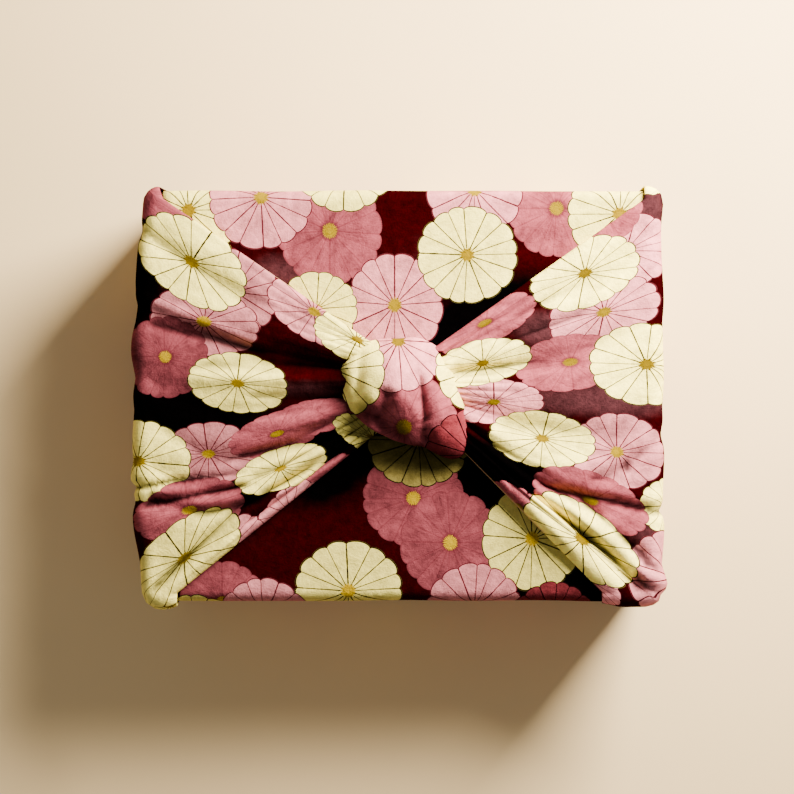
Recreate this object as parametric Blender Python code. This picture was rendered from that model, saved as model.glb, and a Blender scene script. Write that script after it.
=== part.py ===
"""Square cloth folded round a box-shaped space and knotted on top.

The cloth is one closed body. A strip runs under the bottom, up the front and back walls and over
the top, where its two ends overlap. A gathered wing rises on each short side, wraps the corners,
narrows over the top and ends in the knot. One corner of the cloth lies over the knot as a hood.
Lengths are millimetres until the mesh is made. +X is to the right, +Y to the back, +Z up.
"""

from collections import namedtuple

import bmesh
import bpy
import numpy as np

MM = 0.001

# Cloth
CLOTH = 1.2

# Strip under, round and over the space
STRIP_Y = 110.4
STRIP_HALF = 130.0
FOOT_FLAT_Y = 104.4
BOTTOM_Z = CLOTH / 2
FRONT_FLAP_Z = 88.6
BACK_FLAP_Z = 90.4
FRONT_FLAP_END_Y = 84.0
BACK_FLAP_END_Y = -31.0
TOP_RADIUS = 6.0
BOTTOM_RADIUS = 3.0
# The strip spreads from its own width on the walls to the foot's width under the bottom
SPREAD_Z = 12.0
# Places of the rows between the bends: across each flap, and up both walls
FRONT_FLAP_ROWS_Y = (20.0, -45.0)
BACK_FLAP_ROWS_Y = (60.0, 15.0)
WALL_ROWS_Z = (50.0, 14.0)
TOP_TURN_STEPS = 5
BOTTOM_TURN_STEPS = 4

# Wings on the short sides
WING_X = 137.5
WING_Y = 112.4
CORNER_RADIUS = 8.0
WING_Z = 93.4
WING_BEND = 7.0
WING_FOOT_Z = 0.3
WING_FOOT_ALONG = 118.0
CORNER_HOLD = 0.75
END_FADE = 0.12
# How far each side wall stands out, and the shape of that bulge up the wall and across it
LEFT_BULGE = 7.0
RIGHT_BULGE = 0.6
BULGE_PAST_TOP = 8.0
BULGE_UP = 0.8
BULGE_ACROSS = 0.6

# Knot and hood
KNOT_X = 0.0
KNOT_Y = -1.0
KNOT_TOP_Z = 118.0
KNOT_FOOT_Z = 92.0
CORE_RINGS = 9
HOOD_CLOTH = 1.6
DOME_FULLNESS = 0.75
OUTLINE_BLEND = ((-7.0, 1), (-3.5, 2), (0.0, 3), (3.5, 2), (7.0, 1))
# The hood's border is free where its lift is more than these, and the core falls away from it
FREE_LIFT_FROM = 6.0
FREE_LIFT_FULL = 8.5
FREE_EDGE_GAP = 6.0
FREE_EDGE_START = 0.75
FREE_EDGE_DRAW = 0.25

# Wing edges: where each end of the wing's front and back border lies.
# along: distance round the footprint from the middle of the short side, at the top edge
# knot_x, knot_y: where the border meets the knot
Border = namedtuple("Border", "along knot_x knot_y")
LEFT_FRONT = Border(-124.0, -12.6, -17.4)
LEFT_BACK = Border(114.5, -16.0, 27.0)
RIGHT_FRONT = Border(-139.5, 22.0, -19.0)
RIGHT_BACK = Border(117.0, 13.0, 23.0)

# A line that runs up a wing and over it to the knot, on top of a ridge or at the bottom of a
# trough. edge, middle, knot: share of the way from the front to the back border, at the top
# edge, halfway to the knot and at the knot. The rises are how far the cloth stands off its
# base there and halfway up the wall.
Fold = namedtuple("Fold", "edge middle knot wall_rise edge_rise middle_rise knot_rise")

LEFT_FOLDS = (
    Fold(0.000, 0.000, 0.000, 0.0, -1.4, -2.2, -1.0),
    Fold(0.045, 0.040, 0.060, 0.4, 1.4, 2.8, 3.0),
    Fold(0.140, 0.072, 0.105, 0.0, 0.4, 1.2, 2.2),
    Fold(0.250, 0.102, 0.150, 0.8, 2.4, 4.0, 3.8),
    Fold(0.298, 0.134, 0.195, 0.0, 0.3, 1.2, 2.6),
    Fold(0.330, 0.166, 0.240, 2.0, 3.6, 4.8, 5.0),
    Fold(0.375, 0.198, 0.285, 0.3, 0.9, 2.0, 3.6),
    Fold(0.430, 0.234, 0.335, 0.6, 1.6, 4.5, 6.0),
    Fold(0.490, 0.284, 0.385, 0.0, 0.6, 1.5, 4.4),
    Fold(0.525, 0.349, 0.440, 0.3, 1.3, 4.8, 7.5),
    Fold(0.560, 0.450, 0.500, 0.0, 0.7, 3.0, 6.0),
    Fold(0.615, 0.535, 0.560, 0.6, 2.2, 5.5, 9.0),
    Fold(0.725, 0.680, 0.640, 0.0, 0.2, 0.6, 5.5),
    Fold(0.780, 0.770, 0.800, 0.4, 1.8, 5.0, 9.0),
    Fold(0.860, 0.860, 0.880, 0.0, 0.9, 3.0, 7.0),
    Fold(0.955, 0.955, 0.940, 0.2, 1.2, 3.0, 6.5),
    Fold(1.000, 1.000, 1.000, 0.0, -0.6, -0.9, 3.0),
)

RIGHT_FOLDS = (
    Fold(0.000, 0.000, 0.000, 0.0, -1.4, -2.2, -1.0),
    Fold(0.045, 0.036, 0.060, 0.4, 1.8, 3.8, 3.5),
    Fold(0.105, 0.069, 0.110, 0.0, 1.9, 3.6, 3.4),
    Fold(0.150, 0.103, 0.160, 0.8, 3.0, 4.8, 4.6),
    Fold(0.190, 0.138, 0.210, 0.1, 0.5, 1.2, 3.0),
    Fold(0.265, 0.176, 0.260, 1.0, 2.4, 5.0, 5.6),
    Fold(0.314, 0.212, 0.310, 0.1, 0.4, 1.4, 3.6),
    Fold(0.420, 0.310, 0.370, 0.6, 2.0, 5.5, 7.0),
    Fold(0.524, 0.426, 0.430, 0.0, 0.7, 2.0, 5.0),
    Fold(0.610, 0.570, 0.560, 0.6, 2.0, 6.0, 9.0),
    Fold(0.700, 0.664, 0.650, 0.0, 0.5, 1.8, 6.0),
    Fold(0.755, 0.760, 0.780, 0.4, 1.7, 5.0, 9.0),
    Fold(0.830, 0.865, 0.870, 0.0, 0.7, 2.6, 6.5),
    Fold(0.930, 0.935, 0.940, 0.2, 1.3, 3.4, 6.5),
    Fold(1.000, 1.000, 1.000, 0.0, -0.6, -0.9, 3.0),
)

# A soft ridge (rise over 0) or trough (rise under 0) between two points seen from above
Crease = namedtuple("Crease", "x0 y0 x1 y1 width0 width1 rise0 rise1")

KNOT_CREASES = (
    Crease(-22, 24, -25, 0, 3.0, 3.0, -3.2, -2.0),
    Crease(-30, 20, -31, 2, 3.5, 3.0, 1.5, 1.5),
    Crease(8, 14, 15, -10, 2.6, 3.2, -3.0, -5.0),
    Crease(16, 4, 19, -10, 2.4, 2.6, -1.0, -3.2),
    Crease(-6, 16, 2, -20, 6.0, 5.0, 1.5, 1.5),
    Crease(-10, 2, -17, -18, 5.0, 5.0, -2.0, -4.5),
    Crease(22, 14, 31, -24, 4.0, 4.0, 1.5, 1.5),
    Crease(11, -14, 13, -19, 4.0, 4.0, 2.5, 2.5),
)

# Outline of the hood round the knot's middle, seen from above: degrees from +X, distance from
# the middle, height of its border above the wings, and how full it stands near the border.
Outline = namedtuple("Outline", "degrees reach lift fullness")
HOOD_OUTLINE = (
    Outline(-170, 29.4, 5.0, 2.2),
    Outline(-159, 26.4, 7.0, 1.8),
    Outline(-143, 24.0, 9.0, 1.4),
    Outline(-118, 21.8, 10.0, 1.2),
    Outline(-91, 23.2, 9.5, 1.2),
    Outline(-66, 27.0, 8.0, 1.3),
    Outline(-58, 35.0, 4.0, 1.5),
    Outline(-51, 43.0, 1.0, 1.8),
    Outline(-40, 43.8, 0.0, 2.2),
    Outline(-27, 38.1, 0.0, 2.6),
    Outline(-11, 33.4, 0.5, 2.8),
    Outline(13, 29.8, 1.0, 2.8),
    Outline(37, 29.6, 0.5, 3.0),
    Outline(56, 32.0, 0.0, 3.0),
    Outline(78, 32.6, 0.0, 3.0),
    Outline(94, 31.0, 0.0, 3.0),
    Outline(111, 33.0, 0.0, 3.0),
    Outline(138, 38.0, 1.0, 2.8),
    Outline(154, 37.1, 2.0, 2.6),
    Outline(173, 33.1, 3.5, 2.4),
)

WALL_ROWS = 4
BEND_ROWS = 4
WING_TOP_ROWS = 16
FRONT_STEPS = (0.1, 0.4, 1.0)
BACK_STEPS = (0.6, 0.9, 1.0)
FOLD_STEPS = (0.5, 1.0)
STRIP_COLUMNS = 6
HOOD_RINGS = 10
HOOD_SPOKES = 44


def fade(low, high, value):
    """0 below low, 1 above high, smooth between."""
    part = np.clip((value - low) / (high - low), 0.0, 1.0)
    return part * part * (3.0 - 2.0 * part)


def creased(table, x, y):
    """Sum of the table's ridges and troughs at x, y."""
    total = np.zeros(np.broadcast(x, y).shape)
    for c in table:
        run_x, run_y = c.x1 - c.x0, c.y1 - c.y0
        length = np.hypot(run_x, run_y)
        along = ((x - c.x0) * run_x + (y - c.y0) * run_y) / length**2
        across = ((x - c.x0) * run_y - (y - c.y0) * run_x) / length
        inside = np.clip(along, 0.0, 1.0)
        width = c.width0 + (c.width1 - c.width0) * inside
        rise = c.rise0 + (c.rise1 - c.rise0) * inside
        ends = fade(-END_FADE, END_FADE, along) * (1.0 - fade(1.0, 1.0 + 2 * END_FADE, along))
        total += rise * ends * np.exp(-((across / width) ** 2))
    return total


def footprint(along, side):
    """Point and outward direction on the rounded footprint, along from a short side's middle."""
    straight = WING_Y - CORNER_RADIUS
    turn = CORNER_RADIUS * np.pi / 2
    distance, sign = np.abs(along), np.sign(along)
    angle = np.clip((distance - straight) / CORNER_RADIUS, 0.0, np.pi / 2)
    past = np.maximum(distance - straight - turn, 0.0)
    x = side * (WING_X - CORNER_RADIUS + CORNER_RADIUS * np.cos(angle) - past)
    y = sign * (np.minimum(distance, straight) + CORNER_RADIUS * np.sin(angle))
    return x, y, side * np.cos(angle), sign * np.sin(angle)


def wing_rows():
    """Each row's wall height, bend angle and share of the way to the knot."""
    wall_top = WING_Z - WING_BEND
    rows = [(z, 0.0, 0.0) for z in np.linspace(WING_FOOT_Z, wall_top, WALL_ROWS + 1)]
    rows += [(wall_top, a, 0.0) for a in np.linspace(0, np.pi / 2, BEND_ROWS + 1)[1:]]
    shares = np.linspace(0, 1.0, WING_TOP_ROWS + 1)[1:]
    rows += [(wall_top, np.pi / 2, share) for share in shares]
    return np.array(rows)


def fold_shape(u):
    """Share of the climb from a trough, at 0, to a ridge, at 1."""
    return (fade(0.0, 1.0, u) + np.sin(u * np.pi / 2)) / 2


def across_folds(folds, height, share, steps):
    """Share across and rise off the base for every column of a wing, at each row."""
    edge, middle, knot, wall_rise, edge_rise, middle_rise, knot_rise = np.array(folds).T
    wall_top = WING_Z - WING_BEND
    half = 2 * middle - (edge + knot) / 2
    line = (1 - share) ** 2 * edge + 2 * share * (1 - share) * half + share**2 * knot
    rise = wall_rise * fade(0.0, 0.5, height / wall_top)
    rise = rise + (edge_rise - rise) * fade(0.5, 1.0, height / wall_top)
    rise = rise + (middle_rise - rise) * fade(0.0, 0.5, share)
    rise = rise + (knot_rise - rise) * fade(0.5, 1.0, share)

    # A border is rounded over, and a fold is broad on top and narrower at the bottom.
    last = len(folds) - 2
    part, stand = [line[:, :1]], [rise[:, :1]]
    for i in range(last + 1):
        run, climb = line[:, i + 1] - line[:, i], rise[:, i + 1] - rise[:, i]
        for u in FRONT_STEPS if i == 0 else BACK_STEPS if i == last else steps:
            if i == 0:
                share_up = np.sqrt(1 - (1 - u) ** 2)
            elif i == last:
                share_up = 1 - np.sqrt(1 - u**2)
            elif edge_rise[i] < edge_rise[i + 1]:
                share_up = fold_shape(u)
            else:
                share_up = 1 - fold_shape(1 - u)
            part.append((line[:, i] + run * u)[:, None])
            stand.append((rise[:, i] + climb * share_up)[:, None])
    return np.concatenate(part, axis=1), np.concatenate(stand, axis=1)


def wing_points(side, front, back, folds, bulge):
    """Grid of points of a wing, rows from the foot to the knot, columns from front to back."""
    height, angle, share = (column[:, None] for column in wing_rows().T)
    wall_top = WING_Z - WING_BEND
    part, stand = across_folds(folds, height, share, FOLD_STEPS)

    foot = WING_FOOT_ALONG * (2 * part - 1)
    top = front.along + (back.along - front.along) * part
    along = foot + (top - foot) * height / wall_top
    x, y, out_x, out_y = footprint(along, side)

    knot_x = front.knot_x + (back.knot_x - front.knot_x) * part
    knot_y = front.knot_y + (back.knot_y - front.knot_y) * part
    inward = WING_BEND * (1 - np.cos(angle))
    base_x, base_y = x - out_x * inward, y - out_y * inward
    plan_x = base_x + (knot_x - base_x) * share
    plan_y = base_y + (knot_y - base_y) * share

    # The wall's own bulge fades over the bend and towards both borders
    up = np.clip(height / (wall_top + BULGE_PAST_TOP), 0, 1)
    wall = bulge * np.sin(np.pi * up) ** BULGE_UP * (1 - fade(0.0, 0.25, share))
    wall = wall * np.sin(np.pi * np.clip(part, 0, 1)) ** BULGE_ACROSS
    # Round the corners the cloth lies close, so its folds are lower there
    close = CORNER_HOLD * out_y**2 * (1 - fade(0.0, 0.2, share)) * np.cos(angle)
    stand = stand * (1 - close) + wall

    px = plan_x + out_x * np.cos(angle) * stand
    py = plan_y + out_y * np.cos(angle) * stand
    pz = height + WING_BEND * np.sin(angle) + np.sin(angle) * stand
    return np.stack([px, py, pz], axis=-1)


def strip_profile():
    """(y, z) along the strip, from the lower end on top, forward, under, and back over the top."""

    def turn(y, z, radius, start, stop, steps):
        angles = np.radians(np.linspace(start, stop, steps))
        return [(y + radius * np.cos(a), z + radius * np.sin(a)) for a in angles]

    front, back = TOP_RADIUS - STRIP_Y, STRIP_Y - TOP_RADIUS
    low_front, low_back = BOTTOM_RADIUS - STRIP_Y, STRIP_Y - BOTTOM_RADIUS
    low_z = BOTTOM_Z + BOTTOM_RADIUS
    line = [(y, FRONT_FLAP_Z) for y in (FRONT_FLAP_END_Y, *FRONT_FLAP_ROWS_Y)]
    line += turn(front, FRONT_FLAP_Z - TOP_RADIUS, TOP_RADIUS, 90, 180, TOP_TURN_STEPS)
    line += [(-STRIP_Y, z) for z in WALL_ROWS_Z]
    line += turn(low_front, low_z, BOTTOM_RADIUS, 180, 270, BOTTOM_TURN_STEPS)
    line += [(-FOOT_FLAT_Y, BOTTOM_Z), (FOOT_FLAT_Y, BOTTOM_Z)]
    line += turn(low_back, low_z, BOTTOM_RADIUS, 270, 360, BOTTOM_TURN_STEPS)
    line += [(STRIP_Y, z) for z in reversed(WALL_ROWS_Z)]
    line += turn(back, BACK_FLAP_Z - TOP_RADIUS, TOP_RADIUS, 0, 90, TOP_TURN_STEPS)
    line += [(y, BACK_FLAP_Z) for y in (*BACK_FLAP_ROWS_Y, BACK_FLAP_END_Y)]
    return np.array(line)


def strip_points():
    """Grid of points of the strip, rows along its profile, columns from left to right."""
    profile = strip_profile()
    y, z = profile[:, :1], profile[:, 1:]
    past = np.maximum(np.abs(y) - FOOT_FLAT_Y, 0.0)
    foot = WING_X - CORNER_RADIUS + np.sqrt(CORNER_RADIUS**2 - past**2)
    half = foot + (STRIP_HALF - foot) * fade(BOTTOM_Z, BOTTOM_Z + SPREAD_Z, z)
    x = half * np.linspace(-1.0, 1.0, STRIP_COLUMNS + 1)[None, :]
    return np.stack(np.broadcast_arrays(x, y, z), axis=-1)


def hood_border(angle):
    """The outline table's reach, lift and fullness at an angle, smooth all round."""
    degrees = np.degrees(angle)
    at = np.array([row.degrees for row in HOOD_OUTLINE], float)
    at = np.concatenate([at - 360, at, at + 360])
    shifts, weights = np.array(OUTLINE_BLEND).T
    found = []
    for name in ("reach", "lift", "fullness"):
        value = np.tile([getattr(row, name) for row in HOOD_OUTLINE], 3)
        near = [np.interp(degrees + shift, at, value) for shift in shifts]
        found.append(np.average(near, axis=0, weights=weights))
    return found


def hood_height(share, angle, x, y):
    """Height of the hood at a share of the way from the middle to the border."""
    _, lift, fullness = hood_border(angle)
    dome = (1 - share**fullness) ** DOME_FULLNESS
    low = WING_Z + lift
    top = low + (KNOT_TOP_Z - low) * dome
    return top + creased(KNOT_CREASES, x, y) * (1 - share**6)


def hood_grid():
    """Share of the way out of each ring, and angle of each spoke."""
    share = np.sin(np.linspace(0, np.pi / 2, HOOD_RINGS + 1))[1:, None]
    return share, np.linspace(-np.pi, np.pi, HOOD_SPOKES + 1)[None, :-1]


def hood_points():
    """Rings of points of the hood, from its middle out, and the middle itself."""
    share, angle = hood_grid()
    reach = hood_border(angle)[0]
    x = KNOT_X + share * reach * np.cos(angle)
    y = KNOT_Y + share * reach * np.sin(angle)
    z = hood_height(share, angle, x, y)
    middle = hood_height(0.0, angle[:, :1], np.full((1, 1), KNOT_X), np.full((1, 1), KNOT_Y))
    return np.stack([x, y, z], axis=-1), np.array([KNOT_X, KNOT_Y, middle.item()])


def material(name, colour, roughness):
    made = bpy.data.materials.new(name)
    made.use_nodes = True
    shader = made.node_tree.nodes["Principled BSDF"]
    shader.inputs["Base Color"].default_value = (*colour, 1.0)
    shader.inputs["Roughness"].default_value = roughness
    shader.inputs["Metallic"].default_value = 0.0
    return made


def new_object(name, mesh_maker):
    mesh = bpy.data.meshes.new(name)
    build = bmesh.new()
    mesh_maker(build)
    bmesh.ops.recalc_face_normals(build, faces=build.faces)
    build.to_mesh(mesh)
    build.free()
    made = bpy.data.objects.new(name, mesh)
    bpy.context.scene.collection.objects.link(made)
    return made


def add_grid(build, points):
    rows = [[build.verts.new(p * MM) for p in row] for row in points]
    for lower, upper in zip(rows, rows[1:]):
        for i in range(len(lower) - 1):
            build.faces.new((lower[i], lower[i + 1], upper[i + 1], upper[i]))


def add_rings(build, points, middle):
    """Faces between rings, and a fan round the middle. Returns the last ring."""
    centre = build.verts.new(middle * MM)
    rings = [[build.verts.new(p * MM) for p in ring] for ring in points]
    count = len(rings[0])
    for i in range(count):
        build.faces.new((centre, rings[0][i], rings[0][(i + 1) % count]))
    for inner, outer in zip(rings, rings[1:]):
        for i in range(count):
            j = (i + 1) % count
            build.faces.new((inner[i], outer[i], outer[j], inner[j]))
    return rings[-1]


def thicken(made, thickness):
    solid = made.modifiers.new("thickness", "SOLIDIFY")
    solid.thickness = thickness * MM
    solid.offset = 0.0
    solid.use_even_offset = False
    solid.use_rim = True
    return made


def helper(made):
    """A body that is joined into the cloth and isn't shown itself."""
    made.hide_render = True
    made.display_type = "WIRE"
    return made


def core_mesh(build):
    """The knotted cloth under the hood. It falls away from the hood along the hood's free edge."""
    share, angle = hood_grid()
    free = fade(FREE_LIFT_FROM, FREE_LIFT_FULL, hood_border(angle)[1])
    points = hood.copy()
    points[..., 2] -= FREE_EDGE_GAP * free * fade(FREE_EDGE_START, 1.0, share)
    last = add_rings(build, points[:CORE_RINGS], hood_middle)
    base = points[CORE_RINGS - 1].copy()
    base -= (base - hood_middle) * FREE_EDGE_DRAW * free[0][:, None]
    base = [build.verts.new((x * MM, y * MM, KNOT_FOOT_Z * MM)) for x, y, _ in base]
    count = len(base)
    for i in range(count):
        j = (i + 1) % count
        build.faces.new((last[i], base[i], base[j], last[j]))
    build.faces.new(base)


for old in list(bpy.data.objects):
    bpy.data.objects.remove(old, do_unlink=True)

wrap = new_object("wrap_cloth", lambda build: add_grid(build, strip_points()))
thicken(wrap, CLOTH)
wrap.data.materials.append(material("printed_cloth", (0.34, 0.07, 0.09), 0.85))

left = wing_points(-1, LEFT_FRONT, LEFT_BACK, LEFT_FOLDS, LEFT_BULGE)
right = wing_points(1, RIGHT_FRONT, RIGHT_BACK, RIGHT_FOLDS, RIGHT_BULGE)
hood, hood_middle = hood_points()
joined = (
    helper(thicken(new_object("left_wing", lambda b: add_grid(b, left)), CLOTH)),
    helper(thicken(new_object("right_wing", lambda b: add_grid(b, right)), CLOTH)),
    helper(new_object("knot_core", core_mesh)),
    helper(thicken(new_object("hood", lambda b: add_rings(b, hood, hood_middle)), HOOD_CLOTH)),
)
for other in joined:
    join = wrap.modifiers.new("join_" + other.name, "BOOLEAN")
    join.operation = "UNION"
    join.solver = "EXACT"
    join.use_self = True
    join.object = other
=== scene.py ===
from collections import namedtuple

import bpy
import numpy as np
from bpy.props import FloatProperty, FloatVectorProperty, IntProperty, PointerProperty
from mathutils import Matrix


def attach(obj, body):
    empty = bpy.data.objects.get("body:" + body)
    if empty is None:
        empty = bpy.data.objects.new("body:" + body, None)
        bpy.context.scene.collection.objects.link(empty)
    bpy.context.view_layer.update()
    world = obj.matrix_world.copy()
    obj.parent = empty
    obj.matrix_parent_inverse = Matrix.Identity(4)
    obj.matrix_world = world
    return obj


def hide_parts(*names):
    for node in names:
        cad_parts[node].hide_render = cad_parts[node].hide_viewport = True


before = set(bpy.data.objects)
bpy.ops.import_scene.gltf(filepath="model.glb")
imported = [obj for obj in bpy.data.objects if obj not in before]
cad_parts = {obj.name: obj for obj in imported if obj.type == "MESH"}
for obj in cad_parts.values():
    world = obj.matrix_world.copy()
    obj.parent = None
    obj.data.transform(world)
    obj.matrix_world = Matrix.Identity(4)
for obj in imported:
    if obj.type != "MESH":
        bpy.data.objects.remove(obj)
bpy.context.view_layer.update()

bl_info = {
    "name": "Tied wrapping cloth",
    "version": (1, 0, 0),
    "blender": (4, 5, 0),
    "location": "View3D > Sidebar > Wrap",
    "description": "A printed square cloth folded and knotted round a box-shaped space",
    "category": "Add Mesh",
}

# Lengths are millimetres until a mesh is made. +X is to the right, +Y to the back, +Z up. A
# pair of numbers is mostly where a fade starts and where it is full.
MM = 0.001
# Seeds of the swells and of the print on the hidden sides
PLEAT_SEED = 23
DRAPE_SEED = 28
STRIP_SEED = 32
HOOD_SEED = 54
GROUND_SEED = 63
STRIP_PRINT_SEED = 83
WING_PRINT_SEED = 93

# Strip under, round and over the space, as in the part's source
SOLID_CLOTH = 1.2
STRIP_Y = 110.4
STRIP_HALF = 130.0
FOOT_FLAT_Y = 104.4
BOTTOM_Z = SOLID_CLOTH / 2
SPACE_MIDDLE_Z = 45.0
FRONT_FLAP_Z = 88.6
BACK_FLAP_Z = 90.4
FRONT_FLAP_END_Y = 84.0
BACK_FLAP_END_Y = -21.0
TOP_RADIUS = 6.0
BOTTOM_RADIUS = 3.0
# The hidden ends are folded back under themselves
FRONT_TIP_Z = 87.0
FRONT_TIP_END_Y = -70.0
BACK_TIP_Z = 89.6
BACK_TIP_END_Y = 80.0
STRIP_STEP = 5.0
STRIP_COLUMNS = 48
STRIP_WAVE = 0.35
STRIP_WAVE_LENGTH = 60.0
STRIP_WAVE_FROM_FLOOR = (2.0, 14.0)
# What lies no deeper than this under a flap's height is its top
TOP_DEPTH = 0.3
SPREAD_Z = 12.0
TIP_STEPS = 5
TOP_TURN_STEPS = 9
BOTTOM_TURN_STEPS = 6
# Along the strip the back flap's places lie past this one
FAR_SIDE = -250.0

# Wings on the short sides, as in the part's source
WING_X = 137.5
WING_Y = 112.4
CORNER_RADIUS = 8.0
WING_Z = 93.4
WING_BEND = 7.0
WING_FOOT_ALONG = 118.0
FOOT_RADIUS = 2.4
FOOT_LIFT = 0.7
FOOT_TUCK = 5.0
CORNER_HOLD = 0.75
CORNER_HOLD_END = 0.2
BULGE_FULL_Z = 62.0
BULGE_ACROSS = 0.6
FOOT_ROWS = 5
WALL_ROWS = 26
BEND_ROWS = 8
WING_TOP_ROWS = 84

# Knot and hood, as in the part's source
KNOT_X = 0.0
KNOT_Y = -1.0
KNOT_TOP_Z = 118.0
KNOT_FOOT_Z = 92.0
HOOD_CLOTH = 1.6
HOOD_SIDE = 83
HOOD_WAVE = 0.25
HOOD_WAVE_LENGTH = 13.0
DOME_FULLNESS = 0.75
OUTLINE_BLEND = ((-7.0, 1), (-3.5, 2), (0.0, 3), (3.5, 2), (7.0, 1))
HEM_TURN = 0.10
HEM_WIDTH = 5.0
HEM_DROP = 1.1
HEM_LIFT = (3.0, 6.5)
HEM_RING = (0.955, 0.985)
CORE_SIDE = 51
CORE_DOME = 0.85
CORE_REACH = 0.96
CORE_GAP = 1.6
CORE_FREE_LIFT = (6.0, 8.5)
CORE_FREE_GAP = 6.0
CORE_DRAW = 0.25
CORE_RIBS = 13
CORE_RIB_RISE = 0.035
CORE_RIBS_FROM = (0.3, 0.9)
CORE_DRAW_FROM = (0.7, 1.0)
CORE_DROP_FROM = (0.6, 1.0)
CORE_DOME_REACH = 0.985
END_FADE = 0.12
# Deep shade under the knot: its middle, and where it is full and ends, as shares of the outline
SHADE_X = -5.0
SHADE_Y = -12.0
SHADE_FULL = 0.85
SHADE_END = 1.38
SHADE_DEPTH = 0.8

# Wing edges: where each end of the wing's front and back border lies.
# along: distance round the footprint from the middle of the short side, at the top edge
# knot_x, knot_y: where the border meets the knot
# hem_from, hem_to: part of the way to the knot where the cloth's pale hem shows on the border
Border = namedtuple("Border", "along knot_x knot_y hem_from hem_to")
LEFT_FRONT = Border(-124.0, -12.6, -17.4, 2.0, 2.0)
LEFT_BACK = Border(114.5, -16.0, 27.0, 0.42, 0.64)
RIGHT_FRONT = Border(-139.5, 22.0, -19.0, 0.38, 2.0)
RIGHT_BACK = Border(117.0, 13.0, 23.0, 2.0, 2.0)
HEM_LINE = 0.004

# Lines that run up a wing and over it to the knot, on top of a ridge or at the bottom of a
# trough. In a row: share of the way from the front to the back border at the top edge, halfway
# to the knot and at the knot, then how far the cloth stands off its base halfway up the wall,
# at the top edge, halfway to the knot and at the knot.
LEFT_FOLDS = (
    (0.0, 0.0, 0.0, 0.0, -2.6, -3.2, -2.6),
    (0.045, 0.04, 0.06, 0.4, 1.4, 2.8, 3.0),
    (0.14, 0.072, 0.105, 0.0, 0.4, 1.2, 2.2),
    (0.25, 0.102, 0.15, 0.8, 2.4, 4.0, 3.8),
    (0.298, 0.134, 0.195, 0.0, 0.3, 1.2, 2.6),
    (0.33, 0.166, 0.24, 2.0, 3.6, 4.8, 5.0),
    (0.375, 0.198, 0.285, 0.3, 0.9, 2.0, 3.6),
    (0.43, 0.234, 0.335, 0.6, 1.6, 4.5, 6.0),
    (0.49, 0.284, 0.385, 0.0, 0.6, 1.5, 4.4),
    (0.525, 0.349, 0.44, 0.3, 1.3, 4.8, 7.5),
    (0.56, 0.45, 0.5, 0.0, 0.7, 3.0, 6.0),
    (0.615, 0.535, 0.56, 0.6, 2.2, 5.5, 9.0),
    (0.725, 0.68, 0.64, 0.0, 0.2, 0.6, 5.5),
    (0.78, 0.77, 0.8, 0.4, 1.8, 5.0, 9.0),
    (0.86, 0.86, 0.88, 0.0, 0.9, 3.0, 7.0),
    (0.955, 0.955, 0.94, 0.2, 1.2, 3.0, 6.5),
    (1.0, 1.0, 1.0, 0.0, -0.6, -0.9, 3.0),
)

RIGHT_FOLDS = (
    (0.0, 0.0, 0.0, 0.0, -2.6, -3.2, -2.6),
    (0.045, 0.036, 0.06, 0.4, 1.8, 3.8, 3.5),
    (0.105, 0.069, 0.11, 0.0, 1.9, 3.6, 3.4),
    (0.15, 0.103, 0.16, 0.8, 3.0, 4.8, 4.6),
    (0.19, 0.138, 0.21, 0.1, 0.5, 1.2, 3.0),
    (0.265, 0.176, 0.26, 1.0, 2.4, 5.0, 5.6),
    (0.314, 0.212, 0.31, 0.1, 0.4, 1.4, 3.6),
    (0.42, 0.31, 0.37, 0.6, 2.0, 5.5, 7.0),
    (0.524, 0.426, 0.43, 0.0, 0.7, 2.0, 5.0),
    (0.61, 0.57, 0.56, 0.6, 2.0, 6.0, 9.0),
    (0.7, 0.664, 0.65, 0.0, 0.5, 1.8, 6.0),
    (0.755, 0.76, 0.78, 0.4, 1.7, 5.0, 9.0),
    (0.83, 0.865, 0.87, 0.0, 0.7, 2.6, 6.5),
    (0.93, 0.935, 0.94, 0.2, 1.3, 3.4, 6.5),
    (1.0, 1.0, 1.0, 0.0, -0.6, -0.9, 3.0),
)

# Steps across one fold, more where it is wide, and across the first and last, whose outer
# border is rounded over
FOLD_DENSITY = 96.0
FOLD_LEAST = 4
FRONT_STEPS = (0.02, 0.08, 0.18, 0.32, 0.5, 0.75, 1.0)
BACK_STEPS = (0.25, 0.5, 0.68, 0.82, 0.92, 0.98, 1.0)
# Past a border the cloth turns under: share of the wing's width it reaches back, and its drop
TUCK = ((0.10, 0.8), (0.05, 0.8), (0.02, 0.7), (0.005, 0.45))

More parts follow.
